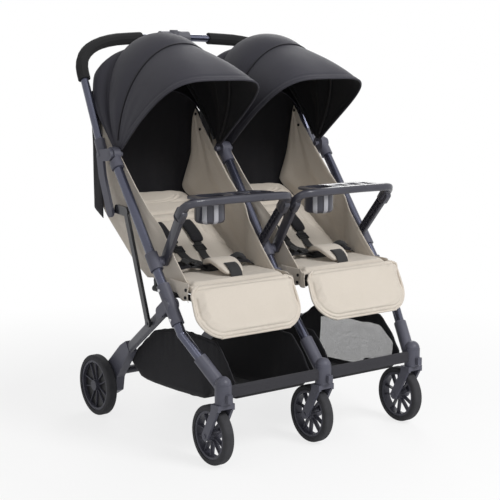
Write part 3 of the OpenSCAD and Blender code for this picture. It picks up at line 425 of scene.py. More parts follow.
def tube(name, path, radius, finish, sides=8):
    """A round cord or bow along a line of points, closed at both ends."""
    path = np.asarray(path, float)
    ahead = np.gradient(path, axis=0)
    ahead /= np.linalg.norm(ahead, axis=1, keepdims=True)
    side = np.cross(ahead[0], (0, 0, 1.0))
    if np.linalg.norm(side) < 1e-3:
        side = np.cross(ahead[0], (1.0, 0, 0))
    rings = []
    turn = np.linspace(0, 2 * np.pi, sides, endpoint=False)
    for point, way in zip(path, ahead):
        side = side - way * (side @ way)
        side /= np.linalg.norm(side)
        other = np.cross(way, side)
        rings.append(point + radius * (np.outer(np.cos(turn), side) + np.outer(np.sin(turn), other)))
    return closed(name, np.array(rings), finish)


def ribbon(name, path, across, width, thick, finish):
    """Flat webbing along a line of points; across is the direction of its width at each point."""
    path = np.asarray(path, float)
    across = np.broadcast_to(np.asarray(across, float), path.shape)
    across = across / np.linalg.norm(across, axis=1, keepdims=True)
    ahead = np.gradient(path, axis=0)
    up = np.cross(across, ahead)
    up /= np.linalg.norm(up, axis=1, keepdims=True)
    half, edge = np.asarray(width) / 2 * np.ones(len(path)), np.asarray(thick) / 2 * np.ones(len(path))
    outline = [(-1, -0.4), (-0.96, -1), (-0.5, -1), (0, -1), (0.5, -1), (0.96, -1), (1, -0.4),
        (1, 0.4), (0.96, 1), (0.5, 1), (0, 1), (-0.5, 1), (-0.96, 1), (-1, 0.4)]
    lines = [path + across * (half * a)[:, None] + up * (edge * b)[:, None] for a, b in outline]
    return closed(name, np.stack(lines, axis=1), finish)


# Moulded pieces

SHARP = 0.6


def mode(kind):
    bpy.ops.object.mode_set(mode=kind)


def cylinder(radius, depth, middle, vertices, turn=0.0):
    """A cylinder to be shaped further, in millimetres, turned about Y."""
    deselect()
    bpy.ops.mesh.primitive_cylinder_add(vertices=vertices, radius=radius / 1000, depth=depth / 1000,
        location=place(middle), rotation=(0, turn, 0))


def bevel(offset, segments, affect="EDGES"):
    bpy.ops.mesh.bevel(offset=offset / 1000, segments=segments, affect=affect)


def inset(rim):
    bpy.ops.mesh.inset(thickness=rim / 1000)


def extrude(x, z):
    bpy.ops.mesh.extrude_region_move(TRANSFORM_OT_translate={"value": (x / 1000, 0, z / 1000)})


def select_all():
    bpy.ops.mesh.select_all(action="SELECT")


def select(kind, test):
    """In edit mode, selects the faces or edges that pass a test."""
    mesh = bmesh.from_edit_mesh(bpy.context.object.data)
    for item in (*mesh.faces, *mesh.edges, *mesh.verts):
        item.select_set(False)
    for item in getattr(mesh, kind):
        if test(item):
            item.select_set(True)
    bmesh.update_edit_mesh(bpy.context.object.data)


def settled(name, finish):
    """Puts the active object's place into its mesh, and names and finishes it."""
    bpy.ops.object.transform_apply(location=True, rotation=True, scale=True)
    piece = named(bpy.context.object, name)
    piece.data.materials.append(finish)
    bpy.ops.object.shade_smooth_by_angle(angle=SHARP)
    return piece


def block(name, size, middle, finish, lean=0.0, edge=2.0, ends=0.0, recess=None):
    """A moulded block with rounded edges.

    ends rounds its corners seen along X. recess is the side that is hollowed, its rim and its depth.
    """
    deselect()
    bpy.ops.mesh.primitive_cube_add(size=1, location=place(middle), rotation=(lean, 0, 0),
        scale=np.array(size) / 1000)
    bpy.ops.object.transform_apply(location=False, rotation=False, scale=True)
    mode("EDIT")
    if ends:
        select("edges", lambda line: abs(line.verts[0].co.x - line.verts[1].co.x) > 1e-4)
        bevel(ends, 7)
        select("faces", lambda face: abs(face.normal.x) > 0.9)
    else:
        select_all()
    bevel(edge, 3)
    if recess:
        way, rim, depth = recess
        select("faces", lambda face: face.normal.x * way > 0.95)
        inset(rim)
        extrude(-way * depth, 0)
    mode("OBJECT")
    return settled(name, finish)


def stud(name, middle, way, radius, thick, finish):
    """A domed press fastener on a side face: a disc, rounded over and stepped at its rim."""
    cylinder(radius, thick, middle, 20, way * math.pi / 2)
    mode("EDIT")
    select("faces", lambda face: len(face.verts) > 4)
    inset(radius * 0.22)
    bevel(thick * 0.3, 2)
    mode("OBJECT")
    return settled(name, finish)


def polyline(name, dimensions, points):
    """A curve of straight lines through points in metres."""
    curve = bpy.data.curves.new(name, "CURVE")
    curve.dimensions = dimensions
    line = curve.splines.new("POLY")
    line.points.add(len(points) - 1)
    for point, spot in zip(line.points, points):
        point.co = (*spot, 1)
    return linked(name, curve)


def swept(name, path, outline, finish):
    """A bar of one outline along a path: a bevelled curve, turned into a mesh."""
    section = polyline("outline", "2D", [(a / 1000, b / 1000, 0) for a, b in outline])
    section.data.splines[0].use_cyclic_u = True
    piece = polyline(name, "3D", place(path))
    piece.data.bevel_mode = "OBJECT"
    piece.data.bevel_object = section
    piece.data.use_fill_caps = True
    piece.data.twist_mode = "Z_UP"
    only(piece)
    bpy.ops.object.convert(target="MESH")
    bpy.data.objects.remove(section)
    mode("EDIT")
    select_all()
    bpy.ops.mesh.remove_doubles(threshold=1e-5)
    bpy.ops.mesh.normals_make_consistent(inside=False)
    mode("OBJECT")
    return settled(name, finish)


def joined(pieces):
    """Several pieces made into the first."""
    deselect()
    for piece in pieces:
        piece.select_set(True)
    bpy.context.view_layer.objects.active = pieces[0]
    bpy.ops.object.join()
    return pieces[0]


def cut(piece, cutters):
    """Takes several pieces out of another."""
    cutter = joined(cutters)
    applied(piece, "BOOLEAN", operation="DIFFERENCE", object=cutter, solver="EXACT")
    bpy.data.objects.remove(cutter)


def squared(wave, power):
    """A sine or cosine bent towards the outline of a rounded square."""
    return np.sign(wave) * np.abs(wave) ** (2 / power)


def curved(points, count):
    """A smooth line through points, at equal steps."""
    points = np.asarray(points, float)
    ends = np.concatenate([[2 * points[0] - points[1]], points, [2 * points[-1] - points[-2]]])
    t = np.linspace(0, 1, 16, endpoint=False)[:, None]
    parts = []
    for a, b, c, d in zip(ends, ends[1:], ends[2:], ends[3:]):
        bend, twist = 2 * a - 5 * b + 4 * c - d, 3 * b - a - 3 * c + d
        parts.append(0.5 * (2 * b + (c - a) * t + bend * t ** 2 + twist * t ** 3))
    return resample(np.concatenate([*parts, points[-1:]]), count)


def oval(half_a, half_b, power, count=28):
    turn = np.linspace(0, 2 * np.pi, count, endpoint=False)
    return np.stack([half_a * squared(np.cos(turn), power), half_b * squared(np.sin(turn), power)], axis=1)


# Trays

TRAY_PIVOT = np.array((244.65, 486.0))
TRAY_JOINT = np.array((149.65, 612.0))
TRAY_LEAN = math.atan2(*(TRAY_PIVOT - TRAY_JOINT) * (1, -1))
TRAY_ARM_X = 146
TRAY_FLARE = 13
TRAY_BAR = [(160, 152, 609), (160, 142, 621), (158.5, 132, 632), (153, 123, 639.5), (143, 117, 643),
    (127, 113.5, 644.5), (98, 112, 645.2), (60, 111.3, 645.8), (30, 111, 646), (0, 111, 646)]
CUP = (-62, 164.0, 39.0)
# Angles from the cup's front of its two painted highlights.
CUP_HIGHLIGHTS = (11, 53)
DECK_SLOTS = ((16, 22), (58, 36), (101, 22))


def cup_holder(name, mid):
    """A round cup with a rounded foot and a rim, and two pale stripes on its front that are painted
    highlights.
    """
    x, y, radius = CUP
    low, high, highlight_top = 586.0, 655.0, 644
    cylinder(radius, high - low, (mid + x, y, (low + high) / 2), 48)
    mode("EDIT")
    select("faces", lambda face: face.normal.z < -0.9)
    bevel(11, 5)
    select("faces", lambda face: face.normal.z > 0.9)
    inset(3)
    extrude(0, -64)
    mode("OBJECT")
    cup = settled("cup_holder_" + name, TRAY_PLASTIC)
    highlight_stripes = []
    # Each stripe is a painted highlight: a pale strip where light glints on the glossy cup.
    for number, angle in enumerate(CUP_HIGHLIGHTS):
        turn = np.radians(angle + np.linspace(-8.5, 8.5, 9))[None, :]
        drop = np.linspace(0, 1, 14)[:, None]
        r = radius + 0.9 - 11 * np.clip((drop - 0.82) / 0.18, 0, 1) ** 2.4
        z = highlight_top - (highlight_top - low - 0.6) * drop
        line = np.stack([mid + x - r * np.sin(turn), y - r * np.cos(turn), z + 0 * turn], axis=2)
        highlight_stripes.append(cloth(f"cup_painted_highlight_{number}_{name}", line, 1.6, HIGHLIGHT_PLASTIC))
    return cup, highlight_stripes


def tray_deck(name, mid):
    """The flat top behind the bar, with its slots and the opening of the cup holder."""
    deselect()
    bpy.ops.mesh.primitive_plane_add(size=1, location=place((mid, 155, 650)))
    bpy.context.object.scale = (0.252, 0.092, 1)
    bpy.ops.object.transform_apply(location=False, rotation=False, scale=True)
    mode("EDIT")
    select_all()
    bevel(43, 9, "VERTICES")
    select_all()
    extrude(0, 5)
    select_all()
    bpy.ops.mesh.normals_make_consistent(inside=False)
    mode("OBJECT")
    deck = settled("tray_deck_" + name, TRAY_PLASTIC)
    cutters = [block("slot", (width, 46, 30), (mid + x, 158, 652), TRAY_PLASTIC, edge=4)
        for x, width in DECK_SLOTS]
    cylinder(CUP[2] - 3, 30, (mid + CUP[0], CUP[1], 652), 48)
    cutters.append(settled("slot", TRAY_PLASTIC))
    cut(deck, cutters)
    applied(deck, "BEVEL", width=0.0012, segments=2, limit_method="ANGLE", angle_limit=0.7)
    bpy.ops.object.shade_smooth_by_angle(angle=SHARP)
    return deck


def dress_tray(name, side):
    mid = seat_mid(side)
    half = np.array(TRAY_BAR, float)
    path = curved(np.concatenate([half * (-1, 1, 1), half[-2::-1]]), 90) + (mid, 0, 2)
    made = [swept("tray_bar_" + name, path, oval(12.5, 10.4, 3.0), TRAY_PLASTIC), tray_deck(name, mid)]
    cup, highlight_stripes = cup_holder(name, mid)
    made += [cup, *highlight_stripes]
    reach = np.linalg.norm(TRAY_JOINT - TRAY_PIVOT)
    arm_way = (TRAY_JOINT - TRAY_PIVOT) / reach
    for hand, way in HANDS:
        def on_arm(out, share):
            x = mid + way * (TRAY_ARM_X + out + TRAY_FLARE * share)
            return (x, *(TRAY_PIVOT + arm_way * reach * share))

        def flared(p, n):
            share = ((p[:, 1:] - TRAY_PIVOT) @ arm_way) / reach
            return np.outer((share - 0.5) * way * TRAY_FLARE, (1, 0, 0))

        arm = block(f"tray_arm_{hand}_{name}", (11.6, 27, reach + 26), on_arm(0, 0.5), TRAY_PLASTIC,
            TRAY_LEAN, 1.6, 12.6, (-way, 3.2, 4.5))
        ribs = [block("rib", (4.6, 21, 1.8), on_arm(-3.4, t), TRAY_PLASTIC, TRAY_LEAN, 0.4)
            for t in np.linspace(0.14, 0.87, 9)]
        spine = block("rib", (4.6, 1.8, reach - 30), on_arm(-3.4, 0.5), TRAY_PLASTIC, TRAY_LEAN, 0.4)
        for piece in (arm, spine):
            pushed(piece, flared)
        ribs = named(joined([*ribs, spine]), f"tray_ribs_{hand}_{name}")
        made += [arm, ribs,
            block(f"tray_knuckle_{hand}_{name}", (17, 32, 38), on_arm(1, 1.02), TRAY_PLASTIC, TRAY_LEAN,
                2.2, 9.0, (way, 4, 1.2)),
            block(f"tray_release_{hand}_{name}", (4, 14, 18), on_arm(8.8, 1.02), BLACK_PLASTIC, TRAY_LEAN,
                1.0, 4.0)]
    for piece in made:
        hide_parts("tray_" + name)
        "grey_plastic" if piece in highlight_stripes else "frame_plastic"
        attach(piece, "tray_" + name)


# Wheels

TYRE_THICK = 14.1
RIM_WALL = 7
HUB_RADIUS = 15
SPOKE_PAIRS = 5


def ring(name, middle, radius, wall, width, finish):
    """A short pipe about X, its four edges rounded."""
    cylinder(radius, width, middle, 72, math.pi / 2)
    mode("EDIT")
    select("faces", lambda face: len(face.verts) > 4)
    inset(wall)
    bpy.ops.mesh.bridge_edge_loops()
    mode("OBJECT")
    piece = settled(name, finish)
    return applied(piece, "BEVEL", width=0.0008, segments=2, limit_method="ANGLE", angle_limit=0.8)


def spoked_wheel(label, axle, diameter, width, axle_d, hub_half, cap):
    """A rim, a hub and pairs of thin spokes; cap is the side that a hub cap closes, or 0."""
    x, y, z = axle
    outside = diameter / 2 - TYRE_THICK
    inside = outside - RIM_WALL
    parts = [ring("rim", axle, outside, RIM_WALL, width - 4, WHEEL_PLASTIC),
        ring("hub", axle, HUB_RADIUS, HUB_RADIUS - axle_d / 2 - 0.05, 2 * hub_half, WHEEL_PLASTIC)]
    for pair in range(SPOKE_PAIRS):
        for way in (-1, 1):
            first, last = (2 * math.pi * pair / SPOKE_PAIRS + way * turn for turn in (0.42, 0.24))
            start = 13.5 * heading(first)
            end = (inside + 1) * heading(last)
            span = end - start
            parts.append(block("spoke", (13, 3.0, np.linalg.norm(span)), (x, *((start + end) / 2 + (y, z))),
                WHEEL_PLASTIC, math.atan2(-span[0], span[1]), 0.7))
    if cap:
        parts.append(stud("cap", (x + cap * (hub_half - 1.0), y, z), cap, 14.2, 2.6, WHEEL_PLASTIC))
    return named(joined(parts), "spokes_" + label)


def dress_wheels(label, way):
    for kind, axle, diameter, axle_d, hub_half, cap in (
            ("rear", (way * 327, 595, 85.5), 171, 12, 15, way),
            ("front", (way * 316, 45, 76), 152, 10, 16, 0)):
        node = f"{kind}_wheel_{label}"
        made = [spoked_wheel(f"{kind}_{label}", axle, diameter, 28, axle_d, hub_half, cap)]
        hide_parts(node)
        if kind == "rear":
            made.append(ring(f"web_{label}", axle, 66.0, 52.0, 3.6, BLACK_PLASTIC))
        for piece in made:
            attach(piece, node)


# Canopies

HUB_Y, HUB_Z, HUB_EYE = 442, 746, 14
CANOPY_COLUMNS = 97
CANOPY_SEAMS = [
    (168, 221, 5.0, lambda r: 50 - 4 * r / 221),
    (168, 298, 4.2, lambda r: np.degrees(np.arccos(np.minimum(math.cos(math.radians(52)), 163 / r)))),
    (164, 320, 2.0, lambda r: 62),
    (164, 295, 2.2, lambda r: 97 + 7 * (r / 295) ** 2),
    (163, 293, 2.7, lambda r: 117),
    (160.5, 321, 4.4, lambda r: 142.4 - 3 * (1 - r / 321)),
]
CANOPY_ROWS = (8, 8, 18, 36)
CANOPY_PUFF = (5, 10, 12, 2)
CANOPY_BOW_SHARE = 0.4
CANOPY_HEM = 17.5


def hub_curve(half, radius, power, slant_at):
    """Points from hub to hub over one seat, as offset across, distance from the hubs and slant."""
    sweep = np.linspace(0, np.pi, 1601)
    x = -half * squared(np.cos(sweep), power)
    r = radius * np.sin(sweep).clip(0) ** (2 / power)
    x, r = x[r > HUB_EYE], r[r > HUB_EYE]
    slant = np.radians(slant_at(r))
    line = resample(np.stack([x, r * np.cos(slant), r * np.sin(slant)], axis=1), CANOPY_COLUMNS)
    x, back, up = line.T
    return np.stack([x, np.hypot(back, up), np.arctan2(up, back)], axis=1)


def canopy_surface():
    """The stretched canopy of a seat at the middle, and its outward directions."""
    curves = [hub_curve(*seam) for seam in CANOPY_SEAMS]
    rows, swell = [], []
    for first, second, count, puff in zip(curves, curves[1:4], CANOPY_ROWS, CANOPY_PUFF):
        for k in range(count):
            share = k / count
            rows.append(first + (second - first) * share)
            swell.append(puff * math.sin(math.pi * share) ** 0.8)
    piped, bow, brim = curves[3:]
    for share in 1 - np.linspace(1, 0, CANOPY_ROWS[3] + 1) ** 1.4:
        near, far = share / CANOPY_BOW_SHARE, (1 - share) / (1 - CANOPY_BOW_SHARE)
        on_piping = (1 - near) * (1 - share)
        on_brim = share * (share - CANOPY_BOW_SHARE) / (1 - CANOPY_BOW_SHARE)
        rows.append(on_piping * piped + near * far * bow + on_brim * brim)
        swell.append(CANOPY_PUFF[3] * math.sin(math.pi * share) ** 0.8)
    polar = np.array(rows)
    x, r, slant = polar[..., 0], polar[..., 1], polar[..., 2]
    grid = np.stack([x, HUB_Y + r * np.cos(slant), HUB_Z + r * np.sin(slant)], axis=2)
    out = grid_normals(grid, grid - (0, HUB_Y, HUB_Z + 60))
    free = smooth((r - HUB_EYE) / 110)
    pulls = 1.1 * np.sin(9 * slant + 5 * np.sign(x)) * np.sin(17 * slant) * bell(r - 120, 70)
    steps = np.linalg.norm(np.diff(grid[::-1], axis=0), axis=2)
    from_brim = np.concatenate([np.zeros((1, CANOPY_COLUMNS)), np.cumsum(steps, axis=0)])[::-1]
    stitch = bell(from_brim - CANOPY_HEM, 2.6)
    hem = (1.2 * smooth((CANOPY_HEM - from_brim) / 5) - 1.3 * stitch) * free
    grid = grid + out * (np.array(swell)[:, None] * free + pulls + hem)[..., None]
    return grid, grid_normals(grid, out)


def dress_canopy(name, side):
    middle = np.array((seat_mid(side), 0, 0))
    grid, out = canopy_surface()
    grid = grid + middle
    visor = "canopy_visor_" + name
    sheet = cloth("canopy_" + name, grid, 2.4, CHARCOAL, LINING)
    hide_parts("canopy_mid_" + name, visor, *(["canopy_backs"] if side < 0 else []))
    seam_rows = np.cumsum((0,) + CANOPY_ROWS)
    trims = [
        tube("canopy_piping_" + name, (grid + out * 1.3)[seam_rows[3]][3:-3], 2.0, BLACK_CLOTH),
        tube("canopy_brim_" + name, (grid - out * 1.2)[-1], 2.6, CHARCOAL),
        tube("canopy_back_binding_" + name, (grid - out * 1.2)[0], 2.0, CHARCOAL),
    ]
    bows = [tube(f"canopy_bow_{number}_{name}", (grid - out * 6.2)[row][2:-2], 3.4, BLACK_PLASTIC)
        for number, row in ((1, seam_rows[2]), (2, seam_rows[3] + 11))]
    for piece in [sheet, *trims, *bows]:
        "black_frame" if piece in bows else "charcoal_fabric"
        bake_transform(piece)


# Rear screens, wings and skirts


def dress_screen(name, side):
    """The black screen behind a backrest, with its two returns."""
    corner, front, rear = 34, 534, 607
    plan = [(0, front), (0, rear - corner)]
    for a in np.radians((15, 30, 45, 60, 75, 90)):
        plan.append((corner - corner * math.cos(a), rear - corner + corner * math.sin(a)))
    left = np.array(plan, float)
    right = left[::-1] * (-1, 1)
    rows, columns = 25, 73
    grid = np.zeros((rows, columns, 3))
    for row, share in enumerate(np.linspace(0, 1, rows)):
        height = 570 + 340 * share
        half = 158 + 5 * smooth((height - 740) / 170)
        line = resample(np.concatenate([left - (half, 0), right + (half, 0)]), columns)
        y = line[:, 1]
        low = np.interp(y, (front, rear), (566, 603))
        high = np.interp(y, (front, rear), (842, 911))
        z = low + (high - low) * share
        back = smooth((y - 570) / 31)
        sag = -back * 6 * math.sin(math.pi * share) * np.cos(line[:, 0] / half * np.pi / 2)
        fold = 1.4 * np.sin(line[:, 0] / 11 + 2.1 * np.sin(share * 5)) * back * (1 - share * 0.5)
        sway = (1 - back) * 1.5 * np.sin(y / 9 + share * 3) * np.sin(np.pi * share)
        grid[row] = np.stack([line[:, 0] + sway, y + sag + fold, z], axis=1)
    x = seat_mid(side)
    # The screen wears the black cloth painted lighter, as painted light.
    piece = cloth("rear_screen_" + name, grid + (x, 0, 0), 1.8, SCREEN_PAINTED_LIGHT_CLOTH)
    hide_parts("rear_screens")
    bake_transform(piece)


WING_FRONT = [(147, 434), (158, 446), (206, 494), (240, 532), (296, 596), (375, 667), (444, 738),
    (509, 808), (540, 853)]
WING_LOW = [(283, 434), (302, 436), (318, 432), (379, 463), (469, 533), (545, 592), (575, 612), (592, 630)]
WING_BACK_OUTER = WING_LOW + [(578, 690), (560, 770), (541, 853)]
WING_BACK_INNER = WING_LOW + [(586, 650), (578, 684), (563, 728), (561, 777), (554, 826), (541, 853)]
WING_EYELETS = ((537, 838), (516, 796))
WING_WAY = np.array((0.842, -0.539))
WING_HEM = 13
SKIRT_STUDS = ((134, 428), (137, 408))


def dress_wing(name, side, outer):
    """A side of a seat's cloth, from the seat's edge to the backrest's corner, hung from the canopy."""
    way = side if outer else -side
    rows, columns = 65, 45
    front = resample(np.array(WING_FRONT, float), rows)
    back = resample(np.array(WING_BACK_OUTER if outer else WING_BACK_INNER, float), rows)
    u = np.linspace(0, 1, columns)[None, :]
    s = np.linspace(0, 1, rows)[:, None]
    flat = front[:, None] * (1 - u[..., None]) + back[:, None] * u[..., None]
    y, z = flat[..., 0], flat[..., 1]
    inside_arm = 138.0 + 13.5 * smooth((y - 262) / 50)
    corner_pull = 14 * np.exp(-((y - 592) / 45) ** 2 - ((z - 628) / 60) ** 2)
    loose = np.sin(np.pi * s) ** 0.7 * smooth((y - 255) / 70)
    puff = 6 * np.sin(np.pi * u) * loose * (1 - 0.75 * smooth((u - 0.5) / 0.3))
    wide = 2.8 * np.sin(11 * u + 2.5 * s) * bell(u - 0.5, 0.3)
    fold = loose * (wide + 1.3 * np.sin(23 * u - 4 * s))
    from_front = np.abs((flat - front[:, None]) @ WING_WAY)
    stitch = bell(from_front - WING_HEM, 2.2)
    hem = 0.8 * smooth((WING_HEM - from_front) / 3) - 0.9 * stitch
    x = seat_mid(side) + way * (inside_arm - corner_pull + puff + fold + hem)
    grid = np.concatenate([x[..., None], flat], axis=2)
    if way < 0:
        grid = grid[:, ::-1]
    label = f"wing_{'outer' if outer else 'inner'}_{name}"
    piece = cloth(label, grid[::-1], 1.8, BEIGE)
    edge = tube(label + "_piping", grid[:, -1 if way < 0 else 0][1:-1], 1.5, BEIGE)
    for made in (piece, edge):
        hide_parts("seat_wings")
        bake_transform(made)
    x_in = seat_mid(side) + way * 149.2
    studs = [stud(f"{label}_eyelet_{k}", (x_in, *spot), -way, 4.0, 2.6, BLACK_PLASTIC)
        for k, spot in enumerate(WING_EYELETS)]
    for made in studs:
        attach(made, "chassis")


def dress_skirt(name, side, outer):
    """The short flap of seat cloth that hangs beside the seat's front corner, with its fasteners."""
    way = side if outer else -side
    label = f"skirt_{'outer' if outer else 'inner'}_{name}"
    y = np.linspace(122 if outer else 104, 212, 40)[:, None]
    share = np.linspace(0, 1, 18)[None, :]
    low = 399 + 17 * smooth((y - 150) / 45) + 1.6 * np.sin(y / 6.5)
    high = 445 - 8 * smooth((128 - y) / 16)
    z = high + (low - high) * share
    flare = 152.2 + 5 * smooth((132 - y) / 14)
    fold = 1.6 * np.sin(y / 7 + 3 * share) * share
    x = seat_mid(side) + way * (flare + fold + 2.4 * np.sin(np.pi * share))
    grid = np.stack([x, y + 0 * share, z], axis=2)
    if way > 0:
        grid = grid[:, ::-1]
    piece = cloth(label, grid, 1.6, BEIGE)
    x_out = seat_mid(side) + way * 156.2
    studs = [stud(f"{label}_stud_{k}", (x_out, *spot), way, 4.2, 2.4, BLACK_PLASTIC)
        for k, spot in enumerate(SKIRT_STUDS)]
    for made in (piece, *studs):
        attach(made, "chassis")


# Pads

FILL_STEPS = 20


def loft(name, sections, finish, boxy=7.0, crown=2.6, count=40):
    """A closed form over sections: middle point, outward direction, half width and half thickness of each."""
    turn = np.linspace(0, 2 * np.pi, count, endpoint=False)
    across = squared(np.cos(turn), boxy)
    up = squared(np.sin(turn), crown)
    rings = []
    for (x, y, z), (ny, nz), half, thick in sections:
        rings.append(np.stack([x + half * across, y + ny * thick * up, z + nz * thick * up], axis=1))
    rings = np.array(rings)
    faces = [tuple(f) for f in grid_faces(len(rings), count, True)]
    last = (len(rings) - 1) * count
    faces += [tuple(reversed(range(count))), tuple(last + k for k in range(count))]
    piece = piece_of(name, rings.reshape(-1, 3), faces, finish)
    mesh = bmesh.new()
    mesh.from_mesh(piece.data)
    bmesh.ops.recalc_face_normals(mesh, faces=mesh.faces)
    mesh.to_mesh(piece.data)
    mesh.free()
    return piece


def stuffed(piece, cap, way, voxel=0.005, pressure=4.0):
    """Fills a pad: its cloth is blown up, and its points move along way, no further than cap."""
    applied(piece, "REMESH", mode="VOXEL", voxel_size=voxel, use_smooth_shade=True)
    rest = read(piece.data)
    cloth_modifier = piece.modifiers.new("filling", "CLOTH")
    settings = cloth_modifier.settings
    settings.quality = 4
    settings.mass = 0.3
    settings.tension_stiffness = settings.compression_stiffness = 15
    settings.bending_stiffness = 0.6
    settings.use_pressure = True
    settings.uniform_pressure_force = pressure
    settings.effector_weights.gravity = 0
    cloth_modifier.collision_settings.use_collision = False
    for step in range(1, FILL_STEPS + 1):
        scene.frame_set(step)
    shown = piece.evaluated_get(bpy.context.evaluated_depsgraph_get())
    moved = read(shown.data) - rest
    piece.modifiers.remove(cloth_modifier)
    scene.frame_set(1)
    out = np.array((0, *way))
    moved = np.outer(moved @ out, out)
    far = np.linalg.norm(moved, axis=1, keepdims=True)
    moved *= np.minimum(1, cap / np.maximum(far, 1e-9))
    write(piece.data, rest + moved)
    return piece


def groove(distance, width, depth):
    return -depth * bell(distance, width)


def to_segment(a, b, p, q):
    """Distance of points (a, b) from the line between p and q."""
    p, q = np.array(p, float), np.array(q, float)
    way = q - p
    t = np.clip(((a - p[0]) * way[0] + (b - p[1]) * way[1]) / (way @ way), 0, 1)
    return np.hypot(a - p[0] - t * way[0], b - p[1] - t * way[1])


def ripple(points, scale, amount, seed):
    return np.array([amount * noise.noise(Vector((x / scale + seed, y / scale, z / scale)))
        for x, y, z in points])


RECLINE = np.array((292.0, 427.7))
BACK_SLOPE = math.radians(32.5)
BACK_WAY = heading(BACK_SLOPE)
BACK_OUT = quarter_turn(BACK_WAY)
SEAT_PAD_Z = (415.3, 447.2)
LEG_X = 184
LEG_END = 127.0
LEG_HALF = 158.0
LEG_CORNER = 66.0
LEG_ROLL = 14.4
LEG_SEAM = math.radians(146)
LEG_AXIS = np.array((108.0, 425.7))
LEG_RAIL = 8.6
LEG_SLOPE = math.radians(58)
LEG_WAY = -heading(LEG_SLOPE)
LEG_OUT = quarter_turn(heading(LEG_SLOPE))


def rounded_half(half, along, length, first, last, draw=2.0):
    """Half width of a pad at a place along it, with rounded corners and sides that pull in."""
    w = half - draw * np.sin(np.pi * along / length) ** 2
    for radius, away in ((first, along), (last, length - along)):
        if away < radius:
            w -= radius - math.sqrt(max(0.0, radius ** 2 - (radius - away) ** 2))
    return w


def domed(end, over):
    """The share of its thickness that a pad has near an end that is rounded off."""
    return math.sqrt(1 - max(0, 1 - end / over) ** 2)


def stations(length, count):
    """Places along a pad, closer together at its rounded ends."""
    ends = np.array((0, 1.5, 4, 8))
    return np.concatenate([ends, np.linspace(14, length - 14, count), length - ends[::-1]])


def backrest_pad(x):
    length = 341
    sections = []
    for along in stations(length, 60):
        end = min(along, length - along)
        thick = 12.5 * domed(end, 12) + 0.4
        y, z = RECLINE + BACK_WAY * (along + 8)
        sections.append(((x, y, z), BACK_OUT, rounded_half(145.5, along + 0.2, length + 0.4, 14, 46), thick))
    piece = finer(stuffed(loft("backrest_pad", sections, BEIGE), 0.006, BACK_OUT))

    def quilt(p, n):
        a, along = p[:, 0] - x, (p[:, 1:] - RECLINE) @ BACK_WAY
        top = smooth(((p[:, 1:] - RECLINE) @ BACK_OUT) / 4)
        patch = np.hypot(a / 100, (along - 318) / 30)
        inside = patch < 1.06
        move = 0 * a
        for place_along, depth in ((212, 6.0), (240, 5.0)):
            bow = place_along + 6 * (a / 120) ** 2
            move += groove(along - bow, 5, depth) * smooth((118 - np.abs(a)) / 10)
        move += groove((patch - 1) * 45, 3.2, 4.4) + groove((patch - 0.82) * 45, 2.6, 2.6)
        move += groove(along - 286, 4.5, 2.6) * smooth((np.abs(a) - 40) / 30) * ~inside
        for s in (-1, 1):
            move += groove(to_segment(a, along, (s * 92, 155), (s * 135, 79)), 4.5, 5.0)
            move += groove(to_segment(a, along, (s * 92, 155), (s * 104, 262)), 4.0, 4.0)
        rim = np.minimum(145 - np.abs(a), 350 - along)
        move += groove(rim - 9, 2.6, 1.6)
        return n * (move * top + ripple(p, 38, 0.9, 3.0) * top)[:, None]

    return pushed(piece, quilt)


def seat_pad(x):
    length = 160
    sections = []
    for along in stations(length, 34):
        end = min(along, length - along)
        thick = 14.0 * domed(end, 13) + 0.4
        half = rounded_half(148.5, along + 0.2, length + 0.4, 10, 12)
        sections.append(((x, 116 + along, 430.5), (0, 1), half, thick))
    piece = finer(stuffed(loft("seat_pad", sections, BEIGE, boxy=9), 0.005, (0, 1)))

    def quilt(p, n):
        a, y, z = p[:, 0] - x, p[:, 1], p[:, 2]
        top = smooth((z - 434) / 4)
        move = groove(y - 172 + 10 * (a / 120) ** 2, 5.5, 3.0) * smooth((112 - np.abs(a)) / 10)
        for s in (-1, 1):
            move += groove(to_segment(a, y, (s * 108, 150), (s * 118, 262)), 4.5, 3.0)
        move += groove(150 - np.abs(a) - 9, 2.6, 1.4)
        moves = n * (move * top + ripple(p, 36, 0.9, 8.0) * top)[:, None]
        low, high = SEAT_PAD_Z
        moves[:, 2] = np.where(z + moves[:, 2] < low, low - z, moves[:, 2])
        moves[:, 2] = np.where(z + moves[:, 2] > high, high - z, moves[:, 2])
        return moves

    return pushed(piece, quilt)


def roll_half(angle):
    """Half width of a leg rest on its roll, which is rounded off towards the seat."""
    return LEG_HALF - 25 * (1 - math.sin(math.pi / 2 * min(1, (angle - math.radians(98)) / math.radians(80))))


def leg_front(along):
    """How far the front of a leg rest stands out, full at the roll and flatter towards its foot."""
    return 10 + 8.2 * (1 - smooth((along - 4) / 75))


